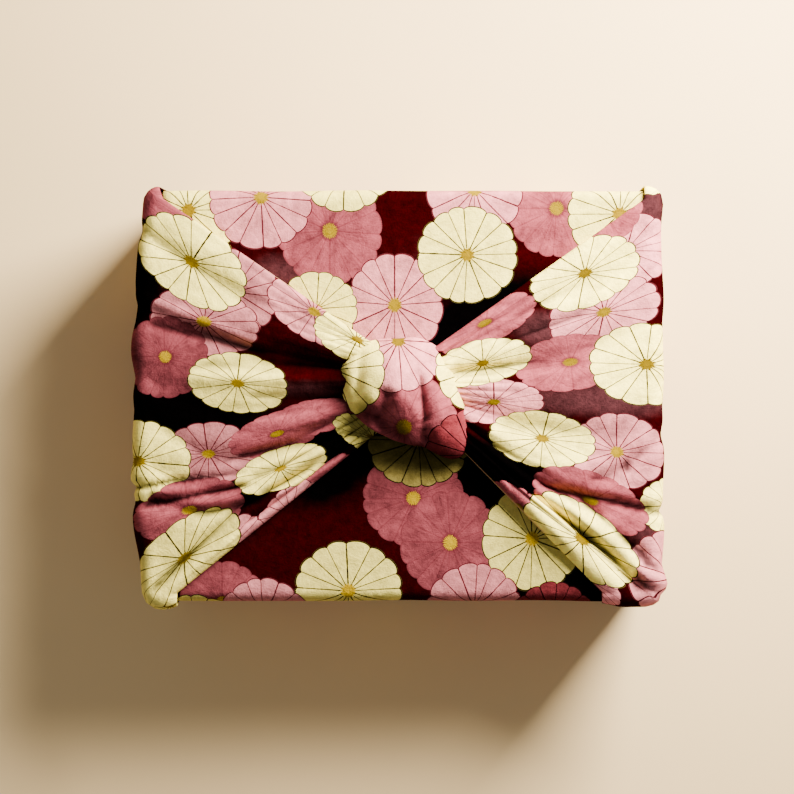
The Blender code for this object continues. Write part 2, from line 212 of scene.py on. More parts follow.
# Soft ridges (rise over 0) and troughs (rise under 0) between two points seen from above. In a
# row: x, y of one end and of the other, then the width and the rise at each end.
LEFT_CREASES = (
    (-142, 90, -86, 52, 4.0, 4.0, -2.4, -1.6),
    (-133, 99, -76, 58, 5.0, 4.0, 1.2, 0.8),
    (-140, 53, -82, 30, 3.0, 3.0, 2.6, 2.2),
    (-139, 40, -80, 24, 4.0, 4.0, -2.6, -2.4),
    (-110, 18, -31, 15, 3.6, 3.0, -1.6, -2.4),
    (-117, 10, -31, 8, 3.4, 2.6, 1.8, 2.8),
    (-83, 0, -31, -1, 2.6, 2.2, -1.4, -2.4),
    (-83, -16, -31, -10, 4.0, 3.0, 1.6, 2.4),
    (-90, -32, -29, -20, 2.2, 2.0, -2.2, -3.0),
    (-87, -36, -44, -25, 1.8, 1.8, -0.8, -1.6),
    (-87, -49, -41, -29, 2.6, 1.8, 1.2, 1.8),
    (-76, -52, -38, -33, 2.2, 1.8, -1.6, -2.6),
    (-69, -53, -38, -38, 2.2, 1.6, 1.0, 1.4),
    (-147, -49, -90, -41, 1.8, 1.8, -2.0, -1.8),
    (-148, -54, -89, -46, 2.2, 2.2, 2.2, 1.8),
    (-138, -58, -88, -49, 2.2, 2.2, -2.8, -2.6),
    (-137, -68, -86, -53, 5.0, 4.0, 1.4, 1.6),
    (-137, -105, -93, -65, 3.0, 3.0, -1.4, -2.6),
    (-123, -105, -87, -72, 5.0, 4.0, 1.2, 1.6),
)

RIGHT_CREASES = (
    (49, -17, 108, -20, 5.0, 4.0, -2.4, -1.0),
    (47, -36, 105, -40, 6.0, 6.0, 2.0, 1.2),
    (99, -45, 119, -38, 4.0, 4.0, -1.4, -2.0),
    (117, -39, 140, -19, 4.0, 4.0, -2.0, -1.6),
    (103, -38, 127, -24, 4.0, 4.0, 1.0, 1.0),
    (80, -44, 130, -54, 3.0, 3.0, 1.4, 1.8),
    (67, -47, 132, -61, 2.0, 2.2, -2.2, -2.8),
    (62, -54, 110, -107, 4.0, 5.0, 1.4, 2.0),
    (78, -57, 123, -99, 2.0, 3.8, -3.2, -4.6),
    (88, -59, 129, -95, 2.0, 2.8, 2.2, 3.0),
    (93, -54, 128, -85, 2.0, 2.6, -1.8, -2.6),
    (108, -68, 136, -104, 4.0, 3.0, 1.0, 1.8),
    (125, -96, 138, -107, 2.0, 2.4, -2.4, -3.2),
    (26, 13, 73, 18, 2.6, 2.6, -2.4, -1.2),
    (52, 29, 92, 43, 3.2, 3.2, -2.6, -1.4),
    (52, 36, 100, 52, 4.0, 4.0, 1.2, 1.0),
)
# The creases fade out down the wall, and none goes so deep that it meets the cloth below
CREASE_WALL_Z = 45.0
CREASE_FLOOR = -2.1
CREASES_START = (0.015, 0.06)
CREASES_STOP = (0.94, 0.985)

LEFT, RIGHT = "left", "right"
WINGS = (
    (LEFT, -1, LEFT_FRONT, LEFT_BACK, LEFT_FOLDS, LEFT_CREASES),
    (RIGHT, 1, RIGHT_FRONT, RIGHT_BACK, RIGHT_FOLDS, RIGHT_CREASES),
)

KNOT_CREASES = (
    (-22, 24, -25, 0, 3.0, 3.0, -3.2, -2.0),
    (-30, 20, -31, 2, 3.5, 3.0, 1.5, 1.5),
    (8, 11, 12, -22, 2.2, 3.0, -3.2, -5.2),
    (16, 6, 20, -12, 3.0, 3.0, 1.6, 2.0),
    (-6, 16, 2, -20, 6.0, 5.0, 1.5, 1.5),
    (-8, 3, -15, -16, 4.5, 4.5, -3.0, -5.5),
    (22, 14, 31, -24, 4.0, 4.0, 1.5, 1.5),
    (11, -14, 13, -19, 4.0, 4.0, 2.5, 2.5),
)

# Shade along the hood's lower border, as ridges whose rise is the shade
HOOD_SHADES = (
    (-25, -5, 6, -27, 5.0, 4.0, 0.8, 0.7),
    (6, -27, 30, -36, 4.0, 6.0, 0.7, 0.8),
    (-19, 2, -14, -10, 3.5, 3.5, 0.35, 0.35),
)

# Outline of the hood round the knot's middle, seen from above. In a row: degrees from +X,
# distance from the middle, height of its border above the wings, and how full it stands near
# the border.
HOOD_OUTLINE = (
    (-170, 29.4, 5.0, 2.2),
    (-159, 26.4, 7.0, 1.8),
    (-143, 24.0, 9.0, 1.4),
    (-118, 21.8, 10.0, 1.2),
    (-91, 23.2, 9.5, 1.2),
    (-66, 27.0, 8.0, 1.3),
    (-58, 35.0, 4.0, 1.5),
    (-51, 43.0, 1.0, 1.8),
    (-40, 43.8, 0.0, 2.2),
    (-27, 38.1, 0.0, 2.6),
    (-11, 33.4, 0.5, 2.8),
    (13, 29.8, 1.0, 2.8),
    (37, 29.6, 0.5, 3.0),
    (56, 32.0, 0.0, 3.0),
    (78, 32.6, 0.0, 3.0),
    (94, 31.0, 0.0, 3.0),
    (111, 33.0, 0.0, 3.0),
    (138, 38.0, 1.0, 2.8),
    (154, 37.1, 2.0, 2.6),
    (173, 33.1, 3.5, 2.4),
)

# The print: where each flower lies, as charted. In a row: x, y of its middle seen from
# above, half its length, half its width, degrees of its length from +X, and its kind. Later
# rows lie on top. DEEP is added to a kind to make its flower darker.
# The fifth kind is cream petals with the knot's shadow painted into them
CREAM, PINK, ROSE, WINE, SHADED_CREAM = 0, 1, 2, 3, 4
DEEP = -0.3
BACK, FRONT, HOOD, CORE = "back", "front", "hood", "core"
FLOWERS = {
    BACK: (
        (-116, 100, 28, 27, 0, CREAM),
        (-40, 89, 29, 28, 90, ROSE),
        (-77, 107, 28, 28, 0, PINK),
        (-32, 125, 26, 26, 0, CREAM),
        (-5, 49, 28, 26, 90, PINK),
        (82, 101, 26, 26, 0, ROSE),
        (38, 111, 26, 26, 0, PINK),
        (34, 76, 27, 26, 0, CREAM),
        (116, 98, 28, 27, 0, CREAM),
        (-47, 47, 22, 20, 0, CREAM),
    ),
    FRONT: (
        (5, -55, 27, 26, 0, ROSE),
        (8, -24, 28, 25, 0, SHADED_CREAM),
        (-30, -105, 29, 27, 0, CREAM),
        (25, -79, 28, 27, 90, ROSE),
        (69, -77, 28, 27, 90, CREAM),
        (38, -116, 26, 26, 0, PINK),
        (-98, -111, 23, 22, 0, ROSE),
        (-76, -123, 25, 25, 0, PINK),
        (81, -123, 23, 23, 0, WINE),
        (-114, -132, 25, 25, 0, CREAM),
    ),
    LEFT: (
        (-126, -112, 22, 18, 0, CREAM),
        (-146, 113, 46, 12, -33, ROSE),
        (-91, 56, 25, 22, -30, PINK + DEEP),
        (-107, 40, 30, 18, -12, PINK + DEEP),
        (-114, 72, 34, 20, -38, CREAM),
        (-128, 21, 23, 22, 0, ROSE + DEEP),
        (-89, 7, 27, 16, -8, CREAM),
        (-105, -31, 26, 17, 4, PINK + DEEP),
        (-142, -35, 28, 22, -4, CREAM),
        (-48, -11, 24, 9, 10, ROSE),
        (-68, -20, 27, 11, 18, ROSE),
        (-43, -43, 18, 5, 40, ROSE),
        (-62, -62, 22, 11, 42, PINK),
        (-66, -39, 26, 11, 20, CREAM),
        (-95, -82, 24, 13, 42, PINK),
        (-115, -61, 30, 16, 15, ROSE),
        (-118, -87, 37, 18, 41, CREAM),
        (-48, 45, 28, 15, -30, PINK),
        (-25, 30, 25, 12, -24, CREAM),
        (-17, -22, 23, 9, -25, CREAM),
    ),
    RIGHT: (
        (135, 119, 14, 12, 0, CREAM),
        (119, 78, 27, 20, 14, PINK),
        (108, 98, 21, 16, 35, ROSE),
        (107, 45, 31, 18, 20, PINK),
        (97, 66, 31, 18, 22, CREAM),
        (43, 39, 30, 11, 25, ROSE),
        (89, 18, 30, 15, 8, ROSE),
        (130, 17, 31, 22, -3, CREAM),
        (48, -3, 27, 12, 0, PINK),
        (42, 18, 27, 12, 12, CREAM),
        (114, -30, 26, 21, -4, PINK + DEEP),
        (74, -23, 29, 15, -8, CREAM),
        (142, -59, 16, 15, 0, CREAM),
        (100, -56, 33, 15, -22, ROSE),
        (147, -99, 30, 24, -40, PINK),
        (62, -59, 19, 8, -40, ROSE),
        (101, -99, 20, 9, -45, PINK),
        (95, -77, 36, 17, -36, CREAM),
    ),
    HOOD: (
        (0, -16, 28, 28, 0, ROSE),
        (36, -31, 25, 24, 0, WINE),
        (-3, 29, 27, 27, 0, PINK),
        (41, 15, 25, 24, 0, CREAM),
        (-36, 14, 26, 26, 0, CREAM),
    ),
    CORE: (
        (0, 0, 40, 40, 0, ROSE),
    ),
}

# Painted light and shade on each sheet's flowers, from dark at 0 to light at 1 (front sheet and
# core darker, right wing lighter), and the flowers' own random unevenness of tone
SHEET_PAINTED_LIGHT = {FRONT: 0.22, BACK: 0.50, LEFT: 0.52, RIGHT: 0.74, HOOD: 0.66, CORE: 0.3}
HIDDEN_TINT = 0.5
TINT_SPREAD = 0.07

# The ground between the flowers: 0 is black, 1 is maroon, 2 is plum. In a row: a soft spot's
# place, size and tilt as for a flower, and its tone.
GROUND_TONE = 0.9
GROUND_WAVE = 0.2
GROUND_WAVE_LENGTH = 90.0
SPOT_STEEP = 1.5
SPOT_SMALL = 0.7
TONES = {
    FRONT: (
        (-35, -38, 30, 12, 40, 0.0),
        (40, -50, 22, 14, -50, 0.0),
        (90, -100, 30, 16, 0, 0.0),
        (-60, -104, 20, 20, 0, 0.9),
    ),
    BACK: (
        (45, 45, 40, 14, 20, 0.0),
        (-67, 66, 16, 10, 0, 1.7),
    ),
    LEFT: (
        (-115, -9, 42, 16, 0, 0.0),
        (-146, 62, 16, 22, 0, 0.0),
        (-85, -52, 16, 8, 20, 0.0),
        (-50, -32, 26, 8, 30, 0.0),
        (-52, 4, 34, 5, 0, 1.5),
        (-50, 20, 26, 9, 0, 0.7),
    ),
    RIGHT: (
        (50, -38, 26, 12, -25, 0.0),
        (106, -2, 44, 10, 0, 1.8),
        (76, 36, 20, 10, 0, 1.8),
        (132, 100, 10, 12, 0, 1.8),
        (136, -76, 16, 10, 0, 1.6),
    ),
}

# Flowers on the hidden sides: middle to middle, unevenness, and half their width
LATTICE_STEP = 42.0
LATTICE_JITTER = 10.0
LATTICE_HALF = 26.5
LATTICE_MARGIN = 27.0
LATTICE_NEAR = 4.0
LATTICE_SIZES = (0.92, 1.06)
LATTICE_WIDTHS = (0.94, 1.0)
LATTICE_KINDS = (CREAM, PINK, ROSE)
LATTICE_SHARES = (0.36, 0.36, 0.28)
ROW_STEP = 0.87
FLOWERS_DEEP = 4
FLOWER_REACH = 1.08
NO_FLOWER = (9.0, 9.0, 0.5)

# Fine pleats that run to the knot, and a soft uneven drape. The lengths are of their swells.
PLEATS = 23.0
PLEAT_RISE = 0.6
PLEAT_BEND = 0.35
PLEAT_BEND_LENGTH = 55.0
PLEAT_STRENGTH = (0.55, 0.45)
PLEAT_STRENGTH_LENGTH = 40.0
PLEAT_ACROSS = 100.0
PLEAT_BEND_ALONG = 60.0
PLEAT_STRENGTH_ALONG = 80.0
PLEATS_START = (0.02, 0.08)
PLEATS_STOP = (0.92, 0.98)
PLEATS_FROM_EDGE = (0.15, 0.8)
DRAPE_RISE = 0.6
DRAPE_LENGTH = 30.0
DRAPE_ACROSS = 240.0
DRAPE_ALONG = 140.0
DRAPE_STRETCH = 0.6
DRAPE_FROM_FLOOR = (4.0, 20.0)
DRAPE_LESS_ON_TOP = 0.5

# Painted shade in folds, darker the deeper the hollow: grid steps round a point, and the depth
# that is full
FINE_FOLD_SHADE = (2, 0.9)
BROAD_FOLD_SHADE = (7, 4.0)
HOOD_FOLD_SHADE = (7, 4.5)
HOOD_FOLD_SHADE_SHARE = 0.8

Patch = namedtuple("Patch", "name points cloth hem top")


def fade(low, high, value):
    """0 below low, 1 above high, smooth between."""
    part = np.clip((value - low) / (high - low), 0.0, 1.0)
    return part * part * (3.0 - 2.0 * part)


def swell(x, y, length, seed):
    """Sum of four sine waves of unlike direction, phase and length, from about -1 to 1."""
    total = 0.0
    draws = np.random.default_rng(seed).uniform((0, 0, 0.7), (np.pi, 2 * np.pi, 1.6), (4, 3))
    for turn, phase, stretch in draws:
        run = x * np.cos(turn) + y * np.sin(turn)
        total = total + np.sin(run * 2 * np.pi / (length * stretch) + phase)
    return total / 2.5


def creased(table, x, y):
    """Sum of the table's ridges and troughs at x, y, each a bell curve across its line."""
    total = np.zeros(np.broadcast(x, y).shape)
    for x0, y0, x1, y1, width0, width1, rise0, rise1 in table:
        run_x, run_y = x1 - x0, y1 - y0
        length = np.hypot(run_x, run_y)
        along = ((x - x0) * run_x + (y - y0) * run_y) / length**2
        across = ((x - x0) * run_y - (y - y0) * run_x) / length
        inside = np.clip(along, 0.0, 1.0)
        width = width0 + (width1 - width0) * inside
        rise = rise0 + (rise1 - rise0) * inside
        ends = fade(-END_FADE, END_FADE, along) * (1.0 - fade(1.0, 1.0 + 2 * END_FADE, along))
        total += rise * ends * np.exp(-((across / width) ** 2))
    return total


def footprint(along, side):
    """Point and outward direction on the rounded footprint, along from a short side's middle."""
    straight = WING_Y - CORNER_RADIUS
    turn = CORNER_RADIUS * np.pi / 2
    distance, sign = np.abs(along), np.sign(along)
    angle = np.clip((distance - straight) / CORNER_RADIUS, 0.0, np.pi / 2)
    past = np.maximum(distance - straight - turn, 0.0)
    x = side * (WING_X - CORNER_RADIUS + CORNER_RADIUS * np.cos(angle) - past)
    y = sign * (np.minimum(distance, straight) + CORNER_RADIUS * np.sin(angle))
    return x, y, side * np.cos(angle), sign * np.sin(angle)


def wing_rows():
    """Each row's foot turn, wall height, bend angle and share of the way to the knot."""
    wall_top = WING_Z - WING_BEND
    low = BOTTOM_Z + FOOT_RADIUS
    rows = [(np.pi / 2, BOTTOM_Z + FOOT_LIFT, 0.0, 0.0)]
    for turn in np.linspace(np.pi / 2, 0, FOOT_ROWS):
        rows.append((turn, low - FOOT_RADIUS * np.sin(turn), 0.0, 0.0))
    rows += [(0.0, z, 0.0, 0.0) for z in np.linspace(low, wall_top, WALL_ROWS + 1)[1:]]
    rows += [(0.0, wall_top, a, 0.0) for a in np.linspace(0, np.pi / 2, BEND_ROWS + 1)[1:]]
    shares = np.linspace(0, 1.0, WING_TOP_ROWS + 1)[1:]
    rows += [(0.0, wall_top, np.pi / 2, share) for share in shares]
    return np.array(rows)


def fold_shape(u):
    """Share of the climb from a trough, at 0, to a ridge, at 1."""
    return (fade(0.0, 1.0, u) + np.sin(u * np.pi / 2)) / 2


def across_folds(folds, height, share):
    """Share across and rise off the base for every column of a wing, at each row.

    Between two fold lines the rise follows fold_shape. The first and last fold end in a quarter
    circle, and past it the cloth turns under.
    """
    edge, middle, knot, wall_rise, edge_rise, middle_rise, knot_rise = np.array(folds).T
    wall_top = WING_Z - WING_BEND
    half = 2 * middle - (edge + knot) / 2
    line = (1 - share) ** 2 * edge + 2 * share * (1 - share) * half + share**2 * knot
    rise = wall_rise * fade(0.0, 0.5, height / wall_top)
    rise = rise + (edge_rise - rise) * fade(0.5, 1.0, height / wall_top)
    rise = rise + (middle_rise - rise) * fade(0.0, 0.5, share)
    rise = rise + (knot_rise - rise) * fade(0.5, 1.0, share)

    last = len(folds) - 2
    steps = np.maximum(FOLD_LEAST, np.diff(edge + middle) / 2 * FOLD_DENSITY).round().astype(int)
    part, stand = [], []
    for reach, drop in TUCK:
        part.append(line[:, :1] + reach)
        stand.append(rise[:, :1] - drop)
    part.append(line[:, :1])
    stand.append(rise[:, :1])
    for i in range(last + 1):
        run, climb = line[:, i + 1] - line[:, i], rise[:, i + 1] - rise[:, i]
        inner = np.arange(1, steps[i] + 1) / steps[i]
        for u in FRONT_STEPS if i == 0 else BACK_STEPS if i == last else inner:
            if i == 0:
                share_up = np.sqrt(1 - (1 - u) ** 2)
            elif i == last:
                share_up = 1 - np.sqrt(1 - u**2)
            elif edge_rise[i] < edge_rise[i + 1]:
                share_up = fold_shape(u)
            else:
                share_up = 1 - fold_shape(1 - u)
            part.append((line[:, i] + run * u)[:, None])
            stand.append((rise[:, i] + climb * share_up)[:, None])
    for reach, drop in reversed(TUCK):
        part.append(line[:, -1:] - reach)
        stand.append(rise[:, -1:] - drop)
    return np.concatenate(part, axis=1), np.concatenate(stand, axis=1)


def pleated(part, share, seed):
    """Fine uneven pleats: a sine across the wing, bent and made stronger and weaker by swells."""
    across = part * PLEAT_ACROSS
    bend = PLEAT_BEND * swell(across, share * PLEAT_BEND_ALONG, PLEAT_BEND_LENGTH, seed)
    wave = np.sin(2 * np.pi * (part * PLEATS + bend))
    uneven = swell(across, share * PLEAT_STRENGTH_ALONG, PLEAT_STRENGTH_LENGTH, seed + 1)
    strength = PLEAT_STRENGTH[0] + PLEAT_STRENGTH[1] * uneven
    inner = fade(*PLEATS_START, part) * (1 - fade(*PLEATS_STOP, part))
    return PLEAT_RISE * wave * strength * inner * fade(*PLEATS_FROM_EDGE, share)


def wing_patch(name, side, front, back, folds, creases, bulge):
    """A wing: rows from its foot to the knot, columns from the front to the back border.

    The base runs up the footprint, bends over the top edge in a quarter circle and then straight
    to the knot. The folds, the pleats and the wall's bulge stand off it.
    """
    turn, height, angle, share = (column[:, None] for column in wing_rows().T)
    wall_top = WING_Z - WING_BEND
    part, stand = across_folds(folds, height, share)

    foot = WING_FOOT_ALONG * (2 * part - 1)
    top = front.along + (back.along - front.along) * part
    along = foot + (top - foot) * height / wall_top
    x, y, out_x, out_y = footprint(along, side)

    knot_x = front.knot_x + (back.knot_x - front.knot_x) * part
    knot_y = front.knot_y + (back.knot_y - front.knot_y) * part
    inset = FOOT_RADIUS * (1 - np.cos(turn))
    inset[0] += FOOT_TUCK
    inward = WING_BEND * (1 - np.cos(angle)) + inset
    full = bulge * np.sin(np.pi * np.clip(part, 0, 1)) ** BULGE_ACROSS
    wall = full * fade(0.0, BULGE_FULL_Z, height)
    base_x, base_y = x - out_x * (inward - wall), y - out_y * (inward - wall)
    plan_x = base_x + (knot_x - base_x) * share
    plan_y = base_y + (knot_y - base_y) * share

    held = CORNER_HOLD * (1 - fade(0.0, CORNER_HOLD_END, share))
    close = held * out_y**2 * np.cos(angle)
    stand = stand * (1 - close) + pleated(part, share, PLEAT_SEED + (side > 0))
    up = (height + share * DRAPE_ALONG) * DRAPE_STRETCH
    drape = swell(part * DRAPE_ACROSS, up, DRAPE_LENGTH, DRAPE_SEED + (side > 0))
    drape = DRAPE_RISE * drape * fade(*DRAPE_FROM_FLOOR, height)
    stand = stand + drape * (1 - DRAPE_LESS_ON_TOP * fade(0, 0.5, share))
    sharp = creased(creases, plan_x, plan_y) * fade(*CREASES_START, part)
    sharp = sharp * (1 - fade(*CREASES_STOP, part)) * fade(CREASE_WALL_Z, wall_top, height)
    stand = np.maximum(stand + sharp, np.minimum(stand, CREASE_FLOOR))

    px = plan_x + out_x * np.cos(angle) * stand
    py = plan_y + out_y * np.cos(angle) * stand
    pz = height + WING_BEND * np.sin(angle) + np.sin(angle) * stand
    points = np.stack([px, py, pz], axis=-1)

    # On the cloth a wall lies straight out from the top edge
    snap_x = np.where(np.abs(out_y) > np.abs(out_x), 0.0, np.sign(out_x))
    snap_y = np.where(np.abs(out_y) > np.abs(out_x), np.sign(out_y), 0.0)
    down = WING_BEND * (np.pi / 2 - angle) + (wall_top - height) + inset
    flat_x = x - out_x * (WING_BEND - full) + snap_x * down
    flat_y = y - out_y * (WING_BEND - full) + snap_y * down
    flat_x = flat_x + (knot_x - flat_x) * share
    flat_y = flat_y + (knot_y - flat_y) * share
    cloth = turned_under(np.stack([flat_x, flat_y], axis=-1), len(TUCK))
    hem = 0.0
    for border, away in ((front, np.abs(part)), (back, np.abs(1 - part))):
        line = (share > border.hem_from) & (share < border.hem_to)
        hem = hem + line * (1 - fade(HEM_LINE, 2 * HEM_LINE, away))
    top = (share + 0 * part) > 0
    top[:, :len(TUCK)] = top[:, -len(TUCK):] = False
    return Patch(name, points, cloth, hem, top)


def turned_under(cloth, tucked):
    """Cloth coordinates whose outer columns, past each border, mirror what lies above them."""
    cloth[:, :tucked] = 2 * cloth[:, tucked:tucked + 1] - cloth[:, :tucked]
    cloth[:, -tucked:] = 2 * cloth[:, -tucked - 1:-tucked] - cloth[:, -tucked:]
    return cloth


def strip_line():
    """(y, z) along the strip, from its lower end on top, forward, under, and back over the top."""

    def turn(y, z, radius, start, stop, steps):
        angles = np.radians(np.linspace(start, stop, steps))
        return [(y + radius * np.cos(a), z + radius * np.sin(a)) for a in angles]

    front, back = TOP_RADIUS - STRIP_Y, STRIP_Y - TOP_RADIUS
    low_front, low_back = BOTTOM_RADIUS - STRIP_Y, STRIP_Y - BOTTOM_RADIUS
    low_z = BOTTOM_Z + BOTTOM_RADIUS
    tip = (FRONT_FLAP_Z - FRONT_TIP_Z) / 2
    end = (BACK_FLAP_Z - BACK_TIP_Z) / 2
    line = [(FRONT_TIP_END_Y, FRONT_TIP_Z)]
    line += turn(FRONT_FLAP_END_Y - tip, FRONT_TIP_Z + tip, tip, -90, 90, TIP_STEPS)
    line += turn(front, FRONT_FLAP_Z - TOP_RADIUS, TOP_RADIUS, 90, 180, TOP_TURN_STEPS)
    line += turn(low_front, low_z, BOTTOM_RADIUS, 180, 270, BOTTOM_TURN_STEPS)
    line += turn(low_back, low_z, BOTTOM_RADIUS, 270, 360, BOTTOM_TURN_STEPS)
    line += turn(back, BACK_FLAP_Z - TOP_RADIUS, TOP_RADIUS, 0, 90, TOP_TURN_STEPS)
    line += turn(BACK_FLAP_END_Y + end, BACK_TIP_Z + end, end, 90, 270, TIP_STEPS)
    line += [(BACK_TIP_END_Y, BACK_TIP_Z)]
    line = np.array(line)
    fine = [line[:1]]
    for a, b in zip(line, line[1:]):
        count = max(1, int(np.ceil(np.linalg.norm(b - a) / STRIP_STEP)))
        fine.append(a + (b - a) * (np.arange(1, count + 1) / count)[:, None])
    return np.concatenate(fine)


def strip_patches():
    """The strip: its line carried from side to side, wider where it lies under the space.

    Long swells lift it a little everywhere but under the bottom. The print's place is x and the
    length along the line, so that on top it is the place seen from above.
    """
    line = strip_line()
    y, z = line[:, :1], line[:, 1:]
    past = np.clip(np.abs(y) - FOOT_FLAT_Y, 0.0, CORNER_RADIUS)
    foot = WING_X - CORNER_RADIUS - FOOT_RADIUS + np.sqrt(CORNER_RADIUS**2 - past**2)
    half = foot + (STRIP_HALF - foot) * fade(BOTTOM_Z, BOTTOM_Z + SPREAD_Z, z)
    x = half * np.linspace(-1.0, 1.0, STRIP_COLUMNS + 1)[None, :]
    steps = np.linalg.norm(np.diff(line, axis=0), axis=1)
    length = np.concatenate([[0.0], np.cumsum(steps)])
    start = length[np.argmax(line[:, 0] > FRONT_FLAP_END_Y - 1e-6)]
    place = FRONT_FLAP_END_Y - (length - start)[:, None] + 0.0 * x
    points = np.stack(np.broadcast_arrays(x, y, z), axis=-1)
    wave = STRIP_WAVE * swell(x, place, STRIP_WAVE_LENGTH, STRIP_SEED)
    points += normals_of(points) * (wave * fade(*STRIP_WAVE_FROM_FLOOR, z))[..., None]
    hem = np.zeros(x.shape)
    front = (z + 0 * x > FRONT_FLAP_Z - TOP_DEPTH) & (place > FAR_SIDE)
    back = (z + 0 * x > BACK_FLAP_Z - TOP_DEPTH) & (place < FAR_SIDE)
    return Patch("strip", points, np.stack([x, place], axis=-1), hem, front | back), front, back


def hood_border(angle):
    """The outline table's reach, lift and fullness at an angle, smooth all round."""
    degrees = np.degrees(angle)
    at, *columns = np.array(HOOD_OUTLINE).T
    at = np.concatenate([at - 360, at, at + 360])
    shifts, weights = np.array(OUTLINE_BLEND).T
    found = []
    for column in columns:
        near = [np.interp(degrees + shift, at, np.tile(column, 3)) for shift in shifts]
        found.append(np.average(near, axis=0, weights=weights))
    return found


def hood_height(share, angle, x, y):
    """Height of the hood at a share of the way from the middle to the border."""
    _, lift, fullness = hood_border(angle)
    dome = (1 - share**fullness) ** DOME_FULLNESS
    low = WING_Z + lift
    top = low + (KNOT_TOP_Z - low) * dome
    return top + creased(KNOT_CREASES, x, y) * (1 - share**6)


def disc(side, past):
    """Distance from the middle, 1 at the border, and angle of each point of a square grid.

    Each square ring of the grid becomes one ring of the disc, so that there is no pole.
    """
    line = np.linspace(-1 - past, 1 + past, side)
    a, b = np.meshgrid(line, line)
    ring = np.maximum(np.abs(a), np.abs(b))
    safe = np.where(ring == 0, 1.0, ring)
    wide = np.abs(a) >= np.abs(b)
    turn = np.where(wide, b / np.where(a == 0, safe, a), a / np.where(b == 0, safe, b))
    angle = np.where(wide, turn * np.pi / 4, np.pi / 2 - turn * np.pi / 4)
    angle = angle + np.pi * np.where(wide, a < 0, b < 0)
    return ring, np.mod(angle + np.pi, 2 * np.pi) - np.pi


def hood_patch():
    """The corner of the cloth over the knot: a dome on the outline, its hem turned under."""
    ring, angle = disc(HOOD_SIDE, HEM_TURN)
    share = np.sin(np.clip(ring, 0, 1) * np.pi / 2)
    under = np.clip((ring - 1) / HEM_TURN, 0, 1)
    reach = hood_border(angle)[0]
    x = KNOT_X + share * reach * np.cos(angle)
    y = KNOT_Y + share * reach * np.sin(angle)
    z = hood_height(share, angle, x, y)
    z = z + HOOD_WAVE * swell(x, y, HOOD_WAVE_LENGTH, HOOD_SEED) * (1 - share**4)
    inner = 1 - under * HEM_WIDTH / reach
    points = np.stack([x * inner, y * inner, z - HEM_DROP * np.sqrt(under)], axis=-1)
    cloth = np.stack([x * (2 - inner), y * (2 - inner)], axis=-1)
    hem = fade(*HEM_LIFT, hood_border(angle)[1]) * fade(*HEM_RING, ring)
    return Patch(HOOD, points, cloth, hem, ring < 2)


def core_patch():
    """The knotted cloth under the hood: the same dome a little lower, with ribs round its neck."""
    ring, angle = disc(CORE_SIDE, 0.0)
    share = np.sin(np.clip(ring / CORE_DOME, 0, 1) * np.pi / 2)
    neck = np.clip((ring - CORE_DOME) / (1 - CORE_DOME), 0, 1)
    reach, lift, _ = hood_border(angle)
    free = fade(*CORE_FREE_LIFT, lift)
    ribs = np.sin(CORE_RIBS * angle + 2 * np.sin(2 * angle)) * fade(*CORE_RIBS_FROM, share)
    draw = 1 - CORE_DRAW * free * fade(*CORE_DRAW_FROM, share)
    out = share * reach * CORE_REACH * (1 + CORE_RIB_RISE * ribs) * draw
    x, y = KNOT_X + out * np.cos(angle), KNOT_Y + out * np.sin(angle)
    drop = CORE_GAP + CORE_FREE_GAP * free * fade(*CORE_DROP_FROM, share)
    z = hood_height(share * CORE_DOME_REACH, angle, x, y) - drop
    z = z + (KNOT_FOOT_Z - z) * neck
    return Patch(CORE, np.stack([x, y, z], axis=-1), np.stack([x, y], axis=-1), x * 0, ring < 2)


def normals_of(points):
    """Unit normals of a grid of points, turned away from the middle of the space."""
    across = np.cross(np.gradient(points, axis=0), np.gradient(points, axis=1))
    size = np.linalg.norm(across, axis=-1, keepdims=True)
    across = across / np.where(size == 0, 1, size)
    outward = points - np.array([0.0, 0.0, SPACE_MIDDLE_Z])
    return across if (across * outward).sum() > 0 else -across


def quads_of(points, normals):
    """Corner numbers of a grid's quads, wound so that they face along the normals."""
    rows, columns = points.shape[:2]
    number = np.arange(rows * columns).reshape(rows, columns)
    a, b = number[:-1, :-1].ravel(), number[:-1, 1:].ravel()
    c, d = number[1:, 1:].ravel(), number[1:, :-1].ravel()
    flat = points.reshape(-1, 3)
    facing = np.cross(flat[c] - flat[a], flat[d] - flat[b])
    same = (facing * normals.reshape(-1, 3)[a]).sum() > 0
    return np.stack([a, b, c, d] if same else [a, d, c, b], axis=1)


def rim_of(quads):
    """The open edges of a grid's quads, each as its two corners in the quad's own order."""
    ends = np.concatenate([quads[:, [i, (i + 1) % 4]] for i in range(4)])
    key = np.sort(ends, axis=1) @ np.array([1 << 32, 1])
    _, where, count = np.unique(key, return_inverse=True, return_counts=True)
    return ends[count[where.reshape(-1)] == 1]


def thick(patch, outside, thickness):
    """Closed body of a patch: the grid moved out, a second one inside it, and a rim between."""
    normals = normals_of(patch.points)
    outer = (patch.points + normals * outside).reshape(-1, 3)
    inner = (patch.points + normals * (outside - thickness)).reshape(-1, 3)
    quads = quads_of(patch.points, normals)
    count = len(outer)
    edge = rim_of(quads)
    rim = np.stack([edge[:, 1], edge[:, 0], edge[:, 0] + count, edge[:, 1] + count], axis=1)
    faces = np.concatenate([quads, quads[:, ::-1] + count, rim])
    return np.concatenate([outer, inner]), faces


def turned(long, short, tilt):
    """Matrix from millimetres on the cloth to a flower's own coordinates."""
    c, s = np.cos(np.radians(tilt)), np.sin(np.radians(tilt))
    return np.array([[c / long, s / long], [-s / short, c / short]])


def place_on(patch, mask, x, y):
    """Cloth coordinates of the point of a patch that is seen at x, y from above."""
    seen = patch.points[mask][:, :2]
    near = np.argmin(((seen - (x, y)) ** 2).sum(axis=1))
    return patch.cloth[mask][near] + (np.array([x, y]) - seen[near])


